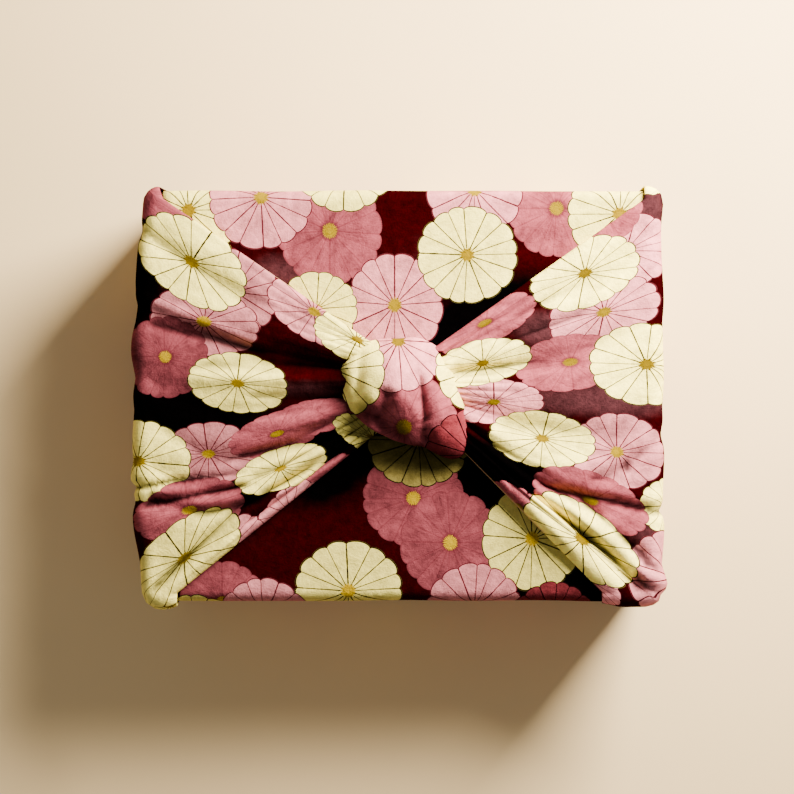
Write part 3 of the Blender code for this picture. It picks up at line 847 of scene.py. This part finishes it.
def charted(patch, mask, name):
    """(place, matrix, kind, painted light) of the chart's flowers on one sheet."""
    return [
        (place_on(patch, mask, x, y), turned(long, short, tilt), kind, SHEET_PAINTED_LIGHT[name])
        for x, y, long, short, tilt, kind in FLOWERS[name]
    ]


def lattice(cloth, hidden, seed):
    """(place, matrix, kind, tint) of uneven rows of flowers over the hidden part of a cloth."""
    rng = np.random.default_rng(seed)
    low, high = cloth.reshape(-1, 2).min(axis=0), cloth.reshape(-1, 2).max(axis=0)
    points = cloth[hidden]
    found = []
    for j, v in enumerate(np.arange(low[1], high[1] + LATTICE_STEP, LATTICE_STEP * ROW_STEP)):
        for u in np.arange(low[0] - LATTICE_STEP, high[0] + LATTICE_STEP, LATTICE_STEP):
            jitter = rng.uniform(-LATTICE_JITTER, LATTICE_JITTER, 2)
            size = LATTICE_HALF * rng.uniform(*LATTICE_SIZES)
            kind = rng.choice(LATTICE_KINDS, p=LATTICE_SHARES)
            tilt = rng.uniform(0, 360)
            at = np.array([u + (j % 2) * LATTICE_STEP / 2, v]) + jitter
            if len(points) and ((points - at) ** 2).sum(axis=1).min() < LATTICE_NEAR**2:
                matrix = turned(size, size * rng.uniform(*LATTICE_WIDTHS), tilt)
                found.append((at, matrix, kind, HIDDEN_TINT))
    return found


def local_places(cloth, flowers):
    """Each face corner's coordinates in each flower, and whether the face meets the flower."""
    places = np.array([f[0] for f in flowers])
    matrices = np.array([f[1] for f in flowers])
    local = np.einsum("kij,fckj->fcki", matrices, cloth[:, :, None] - places)
    return local, (np.linalg.norm(local, axis=-1) < FLOWER_REACH).any(axis=1)


def printed(cloth, flowers, seed):
    """The topmost flowers over each face: a table of (place in flower, kind) for each depth."""
    local, meets = local_places(cloth, flowers)
    tint = np.random.default_rng(seed).uniform(-TINT_SPREAD, TINT_SPREAD, len(flowers))
    kinds = np.array([f[2] + f[3] for f in flowers]) + tint
    order = np.arange(len(flowers))[::-1]
    meets, rank = meets[:, order], np.cumsum(meets[:, order], axis=1)
    layers = []
    for depth in range(1, FLOWERS_DEEP + 1):
        hit = meets & (rank == depth)
        which = order[np.argmax(hit, axis=1)]
        chosen = np.empty(cloth.shape[:2] + (3,))
        chosen[:] = NO_FLOWER
        has = hit.any(axis=1)
        rows = np.flatnonzero(has)
        chosen[rows, :, :2] = local[rows, :, which[rows]]
        chosen[rows, :, 2] = kinds[which[rows], None]
        layers.append(chosen)
    return layers


def ground_tone(patch, mask, name, cloth):
    """Tone of the ground: the tone table's soft spots over swells between black and maroon."""
    wave = swell(cloth[..., 0], cloth[..., 1], GROUND_WAVE_LENGTH, GROUND_SEED)
    tone = GROUND_TONE + GROUND_WAVE * wave
    for x, y, long, short, tilt, spot in TONES.get(name, ()):
        local = (cloth - place_on(patch, mask, x, y)) @ turned(long, short, tilt).T
        near = np.exp(-((local**2).sum(axis=-1) ** SPOT_STEEP) * SPOT_SMALL)
        tone = tone + (spot - tone) * near
    return tone


# Shader nodes

COLOUR, VALUE, VECTOR = "NodeSocketColor", "NodeSocketFloat", "NodeSocketVector"
DYES = ("Cream", "Pink", "Rose", "Wine", "Olive", "Dark Line", "Red Line", "Heart")

# In a flower's own coordinates its middle is 0 and its rim about 1. A pair of numbers is where
# an edge starts and where it is full. A noise is its scale, detail, roughness and distortion.
OWN_TURN = 90.0
PETAL_WAVES = ((3.0, 0.05), (7.0, 0.022))
TURNS_START = 64.0
RIM = 0.925
SCALLOP = 0.075
RIM_SPREAD = 0.02
COVER_EDGE = (-0.016, -0.006)
BORDER_EDGE = (0.018, 0.008)
SPOKE_LEAST = 0.001
SPOKE_SPREAD = 0.028
SPOKE_NOISE = (5.5, 3.0, 0.7)
SPOKE_EDGE = (1.0, 0.4)
SPOKE_START = (0.08, 0.11)
RAYS_A_PETAL = 3.0
RAY_EDGE = (0.12, 0.05)
RAY_START = (0.1, 0.12)
RAY_LEAST = 0.17
RAY_SPREAD = 0.14
RAY_FADE = 0.04
RAY_SHARE = 0.75
FAINT_ON_RED = 0.7
# How uneven the dye lies: in clouds, in streaks along the petals, by petal and by grain. The
# three numbers are for every petal, then more for pink ones and more for rose ones.
CLOUDS = (0.6, 0.6, 0.4)
CLOUD_NOISE = (2.6, 4.0, 0.62, 0.4)
CLOUD_SHIFT = (0.0, 0.0, 3.1)
STREAKS = (0.08, 0.3, 1.2)
STREAKS_A_PETAL = 1.6
STREAK_NOISE = (2.4, 3.0, 0.7)
PETAL_DYE = 0.07
GRAIN_DYE = 0.8
MIDDLE_DYE = -0.06
MIDDLE_EDGE = (0.5, 0.0)
# How the flower's painted light and shade, with its random tone, scales its colour
LIGHT_AND_DYE_LEAST = 0.36
LIGHT_AND_DYE_BY_TINT = 1.2
HEART_REACH = 0.08
HEART_SPIKES = 0.045
HEART_UNEVEN = 0.06
HEART_NOISE = (12.0, 2.0, 0.7)
HEART_EDGE = (0.008, -0.008)
# The middle's yellow against the painted light: lighter flowers get a darker middle
HEART_BRIGHT = 1.6
HEART_BY_LIGHT_AND_TONE = -1.3
STROKES_A_PETAL = 1.5
STROKE_EDGE = (0.34, 0.12)
STROKE_START = (0.045, 0.065)
STROKE_BREAKS = (0.42, 0.56)
STROKE_NOISE = (30.0, 1.0)
RED_RING_EDGE = (0.24, 0.13)
RED_RING = 0.6

# The weave, in millimetres on the cloth
GRAINS = 1.1
GRAIN_LONG = 0.45
GRAIN_NOISE = (2.0, 0.6, 0.3)
WARP_FINER = 1.35
SOFT_COARSER = 0.22
SOFT_NOISE = (3.0, 0.6)
TONE_MIDDLE = 0.6
TONE_SPREAD = 0.9
GROUND_CLOUDS = 0.6
GROUND_NOISE = (0.05, 5.0, 0.65, 0.5)
GROUND_BY_GRAIN = (1.6, 0.2)
MAROON_TONES = (0.25, 1.0)
PLUM_TONES = (1.1, 1.9)
HEM_SHOWN = 0.8
PAINTED_SHADE_DARK = -0.86
ROUGH_BY_GRAIN = (0.16, 0.70)
RUMPLE_NOISE = (0.11, 4.0, 0.6, 0.6)
RUMPLE = {"Strength": 0.35, "Distance": 0.0022}
WEAVE = {"Strength": 0.8, "Distance": 0.00035}

FLOOR_NOISE = (3.0, 4.0, 0.5)
FLOOR_CLOUDS = (0.3, 0.7)
FLOOR_DARKER = 0.94
FLOOR_ROUGH = 0.85
FLOOR_SHINE = 0.2


class Value:
    """A socket that can be reckoned with: each operation adds a math node."""

    def __init__(self, nodes, socket):
        self.nodes, self.socket = nodes, socket

    def __add__(self, other):
        return self.nodes.math("ADD", self, other)

    def __sub__(self, other):
        return self.nodes.math("SUBTRACT", self, other)

    def __rsub__(self, other):
        return self.nodes.math("SUBTRACT", other, self)

    def __mul__(self, other):
        return self.nodes.math("MULTIPLY", self, other)

    def __truediv__(self, other):
        return self.nodes.math("DIVIDE", self, other)

    def __gt__(self, other):
        return self.nodes.math("GREATER_THAN", self, other)

    def __abs__(self):
        return self.nodes.math("ABSOLUTE", self)


class Nodes:
    """Short calls that add nodes to a tree and give back the value that the next one reads."""

    def __init__(self, tree):
        self.tree = tree

    def put(self, value, socket):
        """Link a value, or set a constant, on a node's input."""
        if isinstance(value, Value):
            self.tree.links.new(value.socket, socket)
        else:
            socket.default_value = value

    def node(self, kind, inputs=(), **settings):
        """A node with its settings and its inputs, by name or number."""
        made = self.tree.nodes.new(kind)
        for name, value in settings.items():
            setattr(made, name, value)
        for where, value in dict(inputs).items():
            self.put(value, made.inputs[where])
        return made

    def add(self, kind, inputs=(), output=0, **settings):
        """What one output of a new node gives."""
        return Value(self, self.node(kind, inputs, **settings).outputs[output])

    def math(self, operation, a, b=0.0):
        return self.add("ShaderNodeMath", {0: a, 1: b}, operation=operation)

    def step(self, edge, value):
        """0 at the edge's first number, 1 at its second, smooth between."""
        inputs = {"Value": value, "From Min": edge[0], "From Max": edge[1]}
        return self.add("ShaderNodeMapRange", inputs, interpolation_type="SMOOTHSTEP")

    def mix(self, share, a, b, blend="MIX"):
        inputs = {"Factor": share, 6: a, 7: b}
        return self.add("ShaderNodeMix", inputs, 2, data_type="RGBA", blend_type=blend)

    def vector(self, x, y, z):
        return self.add("ShaderNodeCombineXYZ", {0: x, 1: y, 2: z})

    def darkened(self, colour, share):
        """A colour times a share."""
        return self.mix(1.0, colour, self.vector(share, share, share), "MULTIPLY")

    def noise(self, vector, scale, detail=2.0, roughness=0.5, distortion=0.0):
        inputs = {"Vector": vector, "Scale": scale, "Detail": detail}
        inputs |= {"Roughness": roughness, "Distortion": distortion}
        return self.add("ShaderNodeTexNoise", inputs)

    def group(self, tree, **inputs):
        """A node group with its inputs, given by name with _ for a space. Returns its node."""
        made = self.tree.nodes.new("ShaderNodeGroup")
        made.node_tree = tree
        for name, value in inputs.items():
            self.put(value, made.inputs[name.replace("_", " ")])
        return made

    def output(self, made, name):
        return Value(self, made.outputs[name])


def new_group(name, inputs, outputs):
    """An empty node group with the named sockets. Returns its Nodes and its inputs by name."""
    tree = bpy.data.node_groups.new(name, "ShaderNodeTree")
    for label, kind in inputs:
        tree.interface.new_socket(label, in_out="INPUT", socket_type=kind)
    for label, kind in outputs:
        tree.interface.new_socket(label, in_out="OUTPUT", socket_type=kind)
    entry = tree.nodes.new("NodeGroupInput")
    nodes = Nodes(tree)
    return nodes, {label: nodes.output(entry, label) for label, _ in inputs}


def flower_group(petals):
    """One printed flower: scalloped petals, thin lines between them and a yellow middle.

    r is the distance from the middle and a the angle. The rim swings between petals, the lines
    lie where two petals meet, and the third coordinate says the kind and the flower's painted
    light and shade with its random tone.
    """
    inputs = [("Flower", VECTOR)] + [(name, COLOUR) for name in DYES] + [("Grain", VALUE)]
    n, entry = new_group("printed_flower", inputs, [("Colour", COLOUR), ("Cover", VALUE)])
    flower = entry["Flower"]
    split = n.node("ShaderNodeSeparateXYZ", {0: flower})
    x, y, z = (n.output(split, name) for name in "XYZ")
    r = n.math("SQRT", x * x + y * y)
    a = n.math("ARCTAN2", y, x)
    # own: the flower's painted light and shade, with its random tone
    own = n.math("FRACT", z)
    own_turn = own * OWN_TURN
    is_pink, is_rose, is_wine, is_shaded_cream = (z > float(kind) for kind in (PINK, ROSE, WINE, SHADED_CREAM))

    # Petals of uneven width, counted by turn
    (waves, size), (more_waves, more_size) = PETAL_WAVES
    sway = n.math("SINE", a * waves + own_turn) * size
    sway = sway + n.math("SINE", a * more_waves + own_turn) * more_size
    turn = (a + sway) * (petals / (2 * np.pi)) + TURNS_START
    across = abs(n.math("FRACT", turn) * 2.0 - 1.0)
    petal = n.add("ShaderNodeTexWhiteNoise", {"W": n.math("FLOOR", turn)}, noise_dimensions="1D")
    round_end = n.math("SQRT", 1.0 - across * across)
    inside = round_end * SCALLOP + RIM + petal * RIM_SPREAD - r
    cover = n.step(COVER_EDGE, inside)

    # Lines between petals run from near the middle to the rim, and short rays lie between them
    between = (1.0 - across) * (np.pi / petals) * r
    width = n.noise(flower, *SPOKE_NOISE) * SPOKE_SPREAD + SPOKE_LEAST
    spoke = n.step(SPOKE_EDGE, between / width) * n.step(SPOKE_START, r)
    border = n.step(BORDER_EDGE, abs(inside))
    ray_across = abs(n.math("FRACT", turn * RAYS_A_PETAL) - 0.5)
    ray_length = petal * RAY_SPREAD + RAY_LEAST
    ray = n.step(RAY_EDGE, ray_across) * n.step(RAY_START, r)
    ray = ray * n.step((ray_length, ray_length - RAY_FADE), r)

    petals_colour = n.mix(is_pink, entry["Cream"], entry["Pink"])
    petals_colour = n.mix(is_rose, petals_colour, entry["Rose"])
    petals_colour = n.mix(is_wine, petals_colour, entry["Wine"])
    # Cream petals with the knot's shadow painted in
    petals_colour = n.mix(is_shaded_cream, petals_colour, entry["Olive"])

    shift = n.add("ShaderNodeVectorMath", {0: flower, 1: CLOUD_SHIFT}, operation="ADD")
    least, on_pink, on_rose = CLOUDS
    cloud = n.noise(shift, *CLOUD_NOISE) - 0.5
    dye = cloud * (is_rose * on_rose + (is_pink * on_pink + least))
    least, on_pink, on_rose = STREAKS
    streak = n.noise(n.vector(turn * STREAKS_A_PETAL, r, own_turn), *STREAK_NOISE) - 0.5
    dye = dye + streak * (is_pink * on_pink + least) * (is_rose * on_rose + 1.0)
    dye = dye + (petal - 0.5) * PETAL_DYE + (entry["Grain"] - 0.5) * GRAIN_DYE
    dye = dye + n.step(MIDDLE_EDGE, r) * MIDDLE_DYE
    # Painted light and shade: the dye's unevenness is scaled by the flower's painted light
    dye = (dye + 1.0) * (own * LIGHT_AND_DYE_BY_TINT + LIGHT_AND_DYE_LEAST)
    petals_colour = n.darkened(petals_colour, dye)

    line_colour = n.mix(is_pink, entry["Dark Line"], entry["Red Line"])
    line_colour = n.mix(is_wine, line_colour, entry["Dark Line"])
    lines = n.math("MAXIMUM", spoke, ray * RAY_SHARE)
    lines = n.math("MAXIMUM", lines, border) * (1.0 - (is_rose - is_wine) * FAINT_ON_RED)
    colour = n.mix(lines, petals_colour, line_colour)

    # The middle: a ragged disc of short strokes, with small dark ones between them
    spike = abs(n.math("FRACT", turn * STROKES_A_PETAL) * 2.0 - 1.0)
    reach = spike * HEART_SPIKES + n.noise(flower, *HEART_NOISE) * HEART_UNEVEN
    heart = n.step(HEART_EDGE, r - (reach + HEART_REACH))
    stroke = n.step(STROKE_EDGE, spike) * n.step(STROKE_START, r)
    stroke = stroke * n.step(STROKE_BREAKS, n.noise(flower, *STROKE_NOISE))
    # The middle is painted darker where the flower's painted light is lighter, and lighter where
    # it is darker
    yellow = n.darkened(entry["Heart"], own * HEART_BY_LIGHT_AND_TONE + HEART_BRIGHT)
    yellow = n.mix(stroke, yellow, entry["Dark Line"])
    ring = n.step(RED_RING_EDGE, r) * is_rose
    colour = n.mix(ring * RED_RING, colour, entry["Red Line"])
    n.node("NodeGroupOutput", {"Colour": n.mix(heart, colour, yellow), "Cover": cover})
    return n.tree


def crepe_group():
    """Crepe cloth: fine uneven grains of twisted thread. Gives its height and its tone."""
    inputs = [("Place", VECTOR), ("Grains", VALUE)]
    n, entry = new_group("crepe_grain", inputs, [("Height", VALUE), ("Tone", VALUE)])
    place, grains = entry["Place"], entry["Grains"]
    wide = n.add("ShaderNodeMapping", {"Vector": place, "Scale": (1.0, GRAIN_LONG, 1.0)})
    tall = n.add("ShaderNodeMapping", {"Vector": place, "Scale": (GRAIN_LONG, 1.0, 1.0)})
    weft = n.noise(wide, grains, *GRAIN_NOISE)
    warp = n.noise(tall, grains * WARP_FINER, *GRAIN_NOISE)
    height = n.math("MAXIMUM", weft, warp)
    soft = n.noise(place, grains * SOFT_COARSER, *SOFT_NOISE)
    tone = (height - TONE_MIDDLE) * TONE_SPREAD + 0.5 + (soft - 0.5) * TONE_SPREAD
    n.node("NodeGroupOutput", {"Height": height, "Tone": tone})
    return n.tree


def new_material(name):
    """A material, its Nodes and the inputs of its shader."""
    made = bpy.data.materials.new(name)
    made.use_nodes = True
    return made, Nodes(made.node_tree), made.node_tree.nodes["Principled BSDF"].inputs


def cloth_material(colours, petals):
    """Printed crepe: the ground, then up to four flowers, the lowest first, then the pale hem,
    then the painted shade of folds and of the knot.
    """
    made, n, shader = new_material("printed_crepe")

    def read(name, output="Vector"):
        return n.add("ShaderNodeAttribute", output=output, attribute_name=name)

    def colour(name):
        return (*getattr(colours, name), 1.0)

    place = read("cloth_place")
    crepe = n.group(crepe_group(), Place=place, Grains=GRAINS)
    grain = n.output(crepe, "Tone")

    tone = read("ground", "Fac") + (n.noise(place, *GROUND_NOISE) - 0.5) * GROUND_CLOUDS
    ground = n.mix(n.step(MAROON_TONES, tone), colour("black"), colour("maroon"))
    ground = n.mix(n.step(PLUM_TONES, tone), ground, colour("plum"))
    result = n.darkened(ground, grain * GROUND_BY_GRAIN[0] + GROUND_BY_GRAIN[1])

    tree = flower_group(petals)
    dyes = {label: colour(label.lower().replace(" ", "_")) for label in DYES}
    for depth in range(FLOWERS_DEEP, 0, -1):
        flower = n.group(tree, Flower=read(f"flower_{depth}"), Grain=grain, **dyes)
        result = n.mix(n.output(flower, "Cover"), result, n.output(flower, "Colour"))

    result = n.mix(read("hem", "Fac") * HEM_SHOWN, result, colour("hem"))
    # Painted shade: folds, the knot's shadow and the hood's lower border darken the colour
    result = n.darkened(result, read("painted_shade", "Fac") * PAINTED_SHADE_DARK + 1.0)
    n.put(result, shader["Base Color"])
    n.put(grain * ROUGH_BY_GRAIN[0] + ROUGH_BY_GRAIN[1], shader["Roughness"])
    rumple = n.add("ShaderNodeBump", {"Height": n.noise(place, *RUMPLE_NOISE)} | RUMPLE)
    weave = {"Height": n.output(crepe, "Height"), "Normal": rumple} | WEAVE
    n.put(n.add("ShaderNodeBump", weave), shader["Normal"])
    n.put(0.0, shader["Specular IOR Level"])
    return made


def floor_material(tint):
    """Pale matt floor with a faint uneven tone."""
    made, n, shader = new_material("pale_floor")
    place = n.add("ShaderNodeTexCoord", output="Object")
    darker = tuple(FLOOR_DARKER * c for c in tint)
    cloud = n.step(FLOOR_CLOUDS, n.noise(place, *FLOOR_NOISE))
    n.put(n.mix(cloud, (*tint, 1.0), (*darker, 1.0)), shader["Base Color"])
    n.put(FLOOR_ROUGH, shader["Roughness"])
    n.put(FLOOR_SHINE, shader["Specular IOR Level"])
    return made


# Settings


def size_prop(label, text, default):
    return FloatProperty(name=label, description=text, default=default, unit="LENGTH")


def colour_prop(label, text, default):
    return FloatVectorProperty(
        name=label, description=text, default=default, subtype="COLOR", min=0.0, max=1.0
    )


class WrapSizes(bpy.types.PropertyGroup):
    """Sizes of the cloth."""

    cloth_side: size_prop("Cloth side", "Side of the square cloth before it is tied", 0.70)
    thickness: size_prop("Cloth thickness", "Thickness of one layer", 0.00055)
    left_bulge: size_prop("Left bulge", "How far the left side stands out", 0.007)
    right_bulge: size_prop("Right bulge", "How far the right side stands out", 0.0006)
    petals: IntProperty(name="Petals", description="Petals of a printed flower", default=16)


class WrapColours(bpy.types.PropertyGroup):
    """Colours of the print."""

    cream: colour_prop("Cream petals", "Petals of the pale flowers", (0.92, 0.76, 0.17))
    pink: colour_prop("Pink petals", "Petals of the pink flowers", (0.58, 0.185, 0.19))
    rose: colour_prop("Rose petals", "Petals of the rose flowers", (0.25, 0.050, 0.060))
    wine: colour_prop("Wine petals", "Petals of the darkest flowers", (0.17, 0.022, 0.027))
    # Cream petals with the knot's shadow painted into them
    olive: colour_prop("Olive petals", "Petals under the knot", (0.34, 0.26, 0.06))
    heart: colour_prop("Flower middle", "Middle of every flower", (0.25, 0.155, 0.0))
    dark_line: colour_prop("Dark lines", "Lines on the pale flowers", (0.0015, 0.001, 0.001))
    red_line: colour_prop("Red lines", "Lines on the red flowers", (0.050, 0.003, 0.006))
    black: colour_prop("Black ground", "Darkest ground", (0.0005, 0.0003, 0.0003))
    maroon: colour_prop("Maroon ground", "Main ground", (0.017, 0.0003, 0.0006))
    plum: colour_prop("Plum ground", "Lightest ground", (0.055, 0.016, 0.018))
    hem: colour_prop("Hem", "Edge of the cloth", (0.70, 0.42, 0.20))


class StageSettings(bpy.types.PropertyGroup):
    """Camera, light and floor."""

    floor_tint: colour_prop("Floor", "Colour of the floor", (0.90, 0.64, 0.32))
    view_width: size_prop("View width", "Width seen at the top of the object", 0.427)
    view_x: size_prop("View X", "Middle of the view, to the right", -0.0038)
    view_y: size_prop("View Y", "Middle of the view, to the back", -0.0005)
    view_z: size_prop("View level", "Height at which the width is seen", 0.092)
    lens: FloatProperty(name="Lens", description="Focal length", default=100.0, unit="CAMERA")
    key_power: FloatProperty(name="Key", description="Main light", default=40.0, unit="POWER")
    fill_power: FloatProperty(name="Fill", description="Fill light", default=2.0, unit="POWER")


# Operators

# The floor, the room and the lights, in metres
FLOOR_HALF = 3.0
FLOOR_DROP = 0.0002
ROOM_LIGHT = 0.25
ROOM_TINT = (1.0, 0.97, 0.93, 1.0)
LIT_Z = 0.05
Lamp = namedtuple("Lamp", "name place size tint")
KEY = Lamp("key", (0.38, 0.46, 0.44), 0.36, (1.0, 0.955, 0.89))
FILL = Lamp("fill", (-1.1, -0.5, 1.6), 1.6, (0.93, 0.96, 1.0))


def hollowness(points, reach, full):
    """How far each point lies below the middle of the points round it: 1 at the full depth."""
    padded = np.pad(points, ((reach, reach), (reach, reach), (0, 0)), "edge")
    rows, columns = points.shape[:2]
    around = 0.0
    for i, j in ((0, 1), (1, 0), (1, 2), (2, 1)):
        around = around + padded[i * reach:i * reach + rows, j * reach:j * reach + columns]
    depth = ((around / 4 - points) * normals_of(points)).sum(axis=-1)
    return np.clip(depth / full, 0.0, 1.0)


def painted_knot_shadow(points):
    """Painted shadow of the knot: 1 under and close to it, towards the front left most, and 0 away
    from it.
    """
    x, y = points[..., 0] - SHADE_X, points[..., 1] - SHADE_Y
    share = np.hypot(x, y) / hood_border(np.arctan2(y, x))[0]
    return SHADE_DEPTH * (1 - fade(SHADE_FULL, SHADE_END, share))


def set_attribute(mesh, name, kind, domain, values):
    made = mesh.attributes.new(name, kind, domain)
    field = "vector" if kind == "FLOAT_VECTOR" else "value"
    made.data.foreach_set(field, np.ascontiguousarray(values, np.float32).ravel())


def cloth_object(name, bodies):
    """One mesh of several closed bodies, with what the material reads from it."""
    start, points, faces = 0, [], []
    for body in bodies:
        points.append(body["points"])
        faces.append(body["faces"] + start)
        start += len(body["points"])
    mesh = bpy.data.meshes.new(name)
    mesh.from_pydata(np.concatenate(points) * MM, [], np.concatenate(faces).tolist())
    mesh.update()
    for depth in range(FLOWERS_DEEP):
        layer = np.concatenate([body["layers"][depth].reshape(-1, 3) for body in bodies])
        set_attribute(mesh, f"flower_{depth + 1}", "FLOAT_VECTOR", "CORNER", layer)
    for field in ("cloth_place", "ground", "hem", "painted_shade"):
        values = np.concatenate([body[field] for body in bodies])
        kind = "FLOAT_VECTOR" if values.ndim > 1 else "FLOAT"
        set_attribute(mesh, field, kind, "POINT", values)
    mesh.polygons.foreach_set("use_smooth", np.ones(len(mesh.polygons), bool))
    made = bpy.data.objects.new(name, mesh)
    bpy.context.scene.collection.objects.link(made)
    return made


def painted_shade_of(patch):
    """Painted shade of each point of a patch, from 0 to 1: deep in a fold, under the knot and
    along the hood's lower border.
    """
    broad = hollowness(patch.points, *(HOOD_FOLD_SHADE if patch.name == HOOD else BROAD_FOLD_SHADE))
    deep = np.maximum(hollowness(patch.points, *FINE_FOLD_SHADE), broad)
    if patch.name == HOOD:
        shade = creased(HOOD_SHADES, patch.points[..., 0], patch.points[..., 1])
        return np.maximum(HOOD_FOLD_SHADE_SHARE * deep, shade)
    return np.maximum(deep, painted_knot_shadow(patch.points))


def cloth_body(patch, outside, thickness, flowers, ground, seed):
    """Closed body of a patch with its print, ground tone, hem and painted shade."""
    points, faces = thick(patch, outside, thickness)
    cloth = np.tile(patch.cloth.reshape(-1, 2), (2, 1))
    deep = np.concatenate([cloth, np.full((len(cloth), 1), float(seed))], axis=1)
    return {
        "points": points,
        "faces": faces,
        "layers": printed(cloth[faces], flowers, seed),
        "cloth_place": deep,
        "ground": np.tile(ground.ravel(), 2),
        "hem": np.tile(patch.hem.ravel(), 2),
        "painted_shade": np.tile(painted_shade_of(patch).ravel(), 2),
    }


class WRAP_OT_cloth(bpy.types.Operator):
    """Make the tied cloth: strip, two wings, knot and hood in one sheet."""

    bl_idname = "wrap.cloth"
    bl_label = "Tied cloth"

    def execute(self, context):
        sizes = context.scene.wrap_sizes
        thickness = sizes.thickness / MM
        bodies = []

        strip, front, back = strip_patches()
        hidden = strip.points[..., 2] < FRONT_FLAP_Z - LATTICE_MARGIN
        flowers = lattice(strip.cloth, hidden, STRIP_PRINT_SEED)
        ground = 0.0
        for name, mask in ((FRONT, front), (BACK, back)):
            flowers += charted(strip, mask, name)
            near = (strip.cloth[..., 1] > FAR_SIDE) == (name == FRONT)
            ground = ground + near * ground_tone(strip, mask, name, strip.cloth)
        bodies.append(cloth_body(strip, SOLID_CLOTH / 2, thickness, flowers, ground, 1))

        bulges = (sizes.left_bulge / MM, sizes.right_bulge / MM)
        patches = [wing_patch(*wing, bulge) for wing, bulge in zip(WINGS, bulges)]
        patches += [hood_patch(), core_patch()]
        for number, patch in enumerate(patches):
            flowers, outside = [], HOOD_CLOTH / 2
            if number < len(WINGS):
                past = np.abs(patch.cloth) - (WING_X, WING_Y)
                hidden = past.max(axis=-1) > LATTICE_MARGIN
                flowers = lattice(patch.cloth, hidden, WING_PRINT_SEED + number)
                outside = SOLID_CLOTH / 2
            flowers += charted(patch, patch.top, patch.name)
            ground = ground_tone(patch, patch.top, patch.name, patch.cloth)
            bodies.append(cloth_body(patch, outside, thickness, flowers, ground, 2 + number))

        cloth = cloth_object("tied_cloth", bodies)
        colours = context.scene.wrap_colours
        cloth.data.materials.append(cloth_material(colours, sizes.petals))
        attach(cloth, "root")
        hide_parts("wrap_cloth")
        return {"FINISHED"}


class WRAP_OT_stage(bpy.types.Operator):
    """Make the floor, the lights and the camera."""

    bl_idname = "wrap.stage"
    bl_label = "Stage"

    def execute(self, context):
        stage = context.scene.wrap_stage
        corners = np.array([(-1, -1, 0), (1, -1, 0), (1, 1, 0), (-1, 1, 0)]) * FLOOR_HALF
        mesh = bpy.data.meshes.new("floor")
        mesh.from_pydata(corners - (0, 0, FLOOR_DROP), [], [(0, 1, 2, 3)])
        floor = bpy.data.objects.new("floor", mesh)
        floor.data.materials.append(floor_material(tuple(stage.floor_tint)))
        context.scene.collection.objects.link(floor)

        self.light(KEY, stage.key_power)
        self.light(FILL, stage.fill_power)
        world = bpy.data.worlds.new("room")
        world.use_nodes = True
        sky = world.node_tree.nodes["Background"]
        sky.inputs["Color"].default_value = ROOM_TINT
        sky.inputs["Strength"].default_value = ROOM_LIGHT
        context.scene.world = world

        data = bpy.data.cameras.new("camera")
        data.lens = stage.lens
        distance = stage.view_width / data.sensor_width * data.lens
        camera = bpy.data.objects.new("camera", data)
        camera.location = (stage.view_x, stage.view_y, stage.view_z + distance)
        context.scene.collection.objects.link(camera)
        context.scene.camera = camera
        return {"FINISHED"}

    def light(self, lamp, power):
        """A square light at its place, turned to the middle of the object."""
        data = bpy.data.lights.new(lamp.name, "AREA")
        data.size, data.energy, data.color = lamp.size, power, lamp.tint
        made = bpy.data.objects.new(lamp.name, data)
        made.location = lamp.place
        away = made.location.copy()
        away.z -= LIT_Z
        made.rotation_mode = "QUATERNION"
        made.rotation_quaternion = (-away).to_track_quat("-Z", "Y")
        bpy.context.scene.collection.objects.link(made)


class WRAP_PT_panel(bpy.types.Panel):
    """Lists the settings and the pieces."""

    bl_idname = "WRAP_PT_panel"
    bl_label = "Tied cloth"
    bl_space_type = "VIEW_3D"
    bl_region_type = "UI"
    bl_category = "Wrap"

    def draw(self, context):
        scene = context.scene
        for group in (scene.wrap_sizes, scene.wrap_colours, scene.wrap_stage):
            box = self.layout.box()
            for name in group.__annotations__:
                box.prop(group, name)
        self.layout.operator(WRAP_OT_cloth.bl_idname)
        self.layout.operator(WRAP_OT_stage.bl_idname)


CLASSES = (WrapSizes, WrapColours, StageSettings, WRAP_OT_cloth, WRAP_OT_stage, WRAP_PT_panel)


def register():
    for item in CLASSES:
        bpy.utils.register_class(item)
    bpy.types.Scene.wrap_sizes = PointerProperty(type=WrapSizes)
    bpy.types.Scene.wrap_colours = PointerProperty(type=WrapColours)
    bpy.types.Scene.wrap_stage = PointerProperty(type=StageSettings)


def unregister():
    del bpy.types.Scene.wrap_sizes
    del bpy.types.Scene.wrap_colours
    del bpy.types.Scene.wrap_stage
    for item in reversed(CLASSES):
        bpy.utils.unregister_class(item)


def main():
    register()
    bpy.ops.wrap.cloth()
    bpy.ops.wrap.stage()


if __name__ == "__main__":
    main()
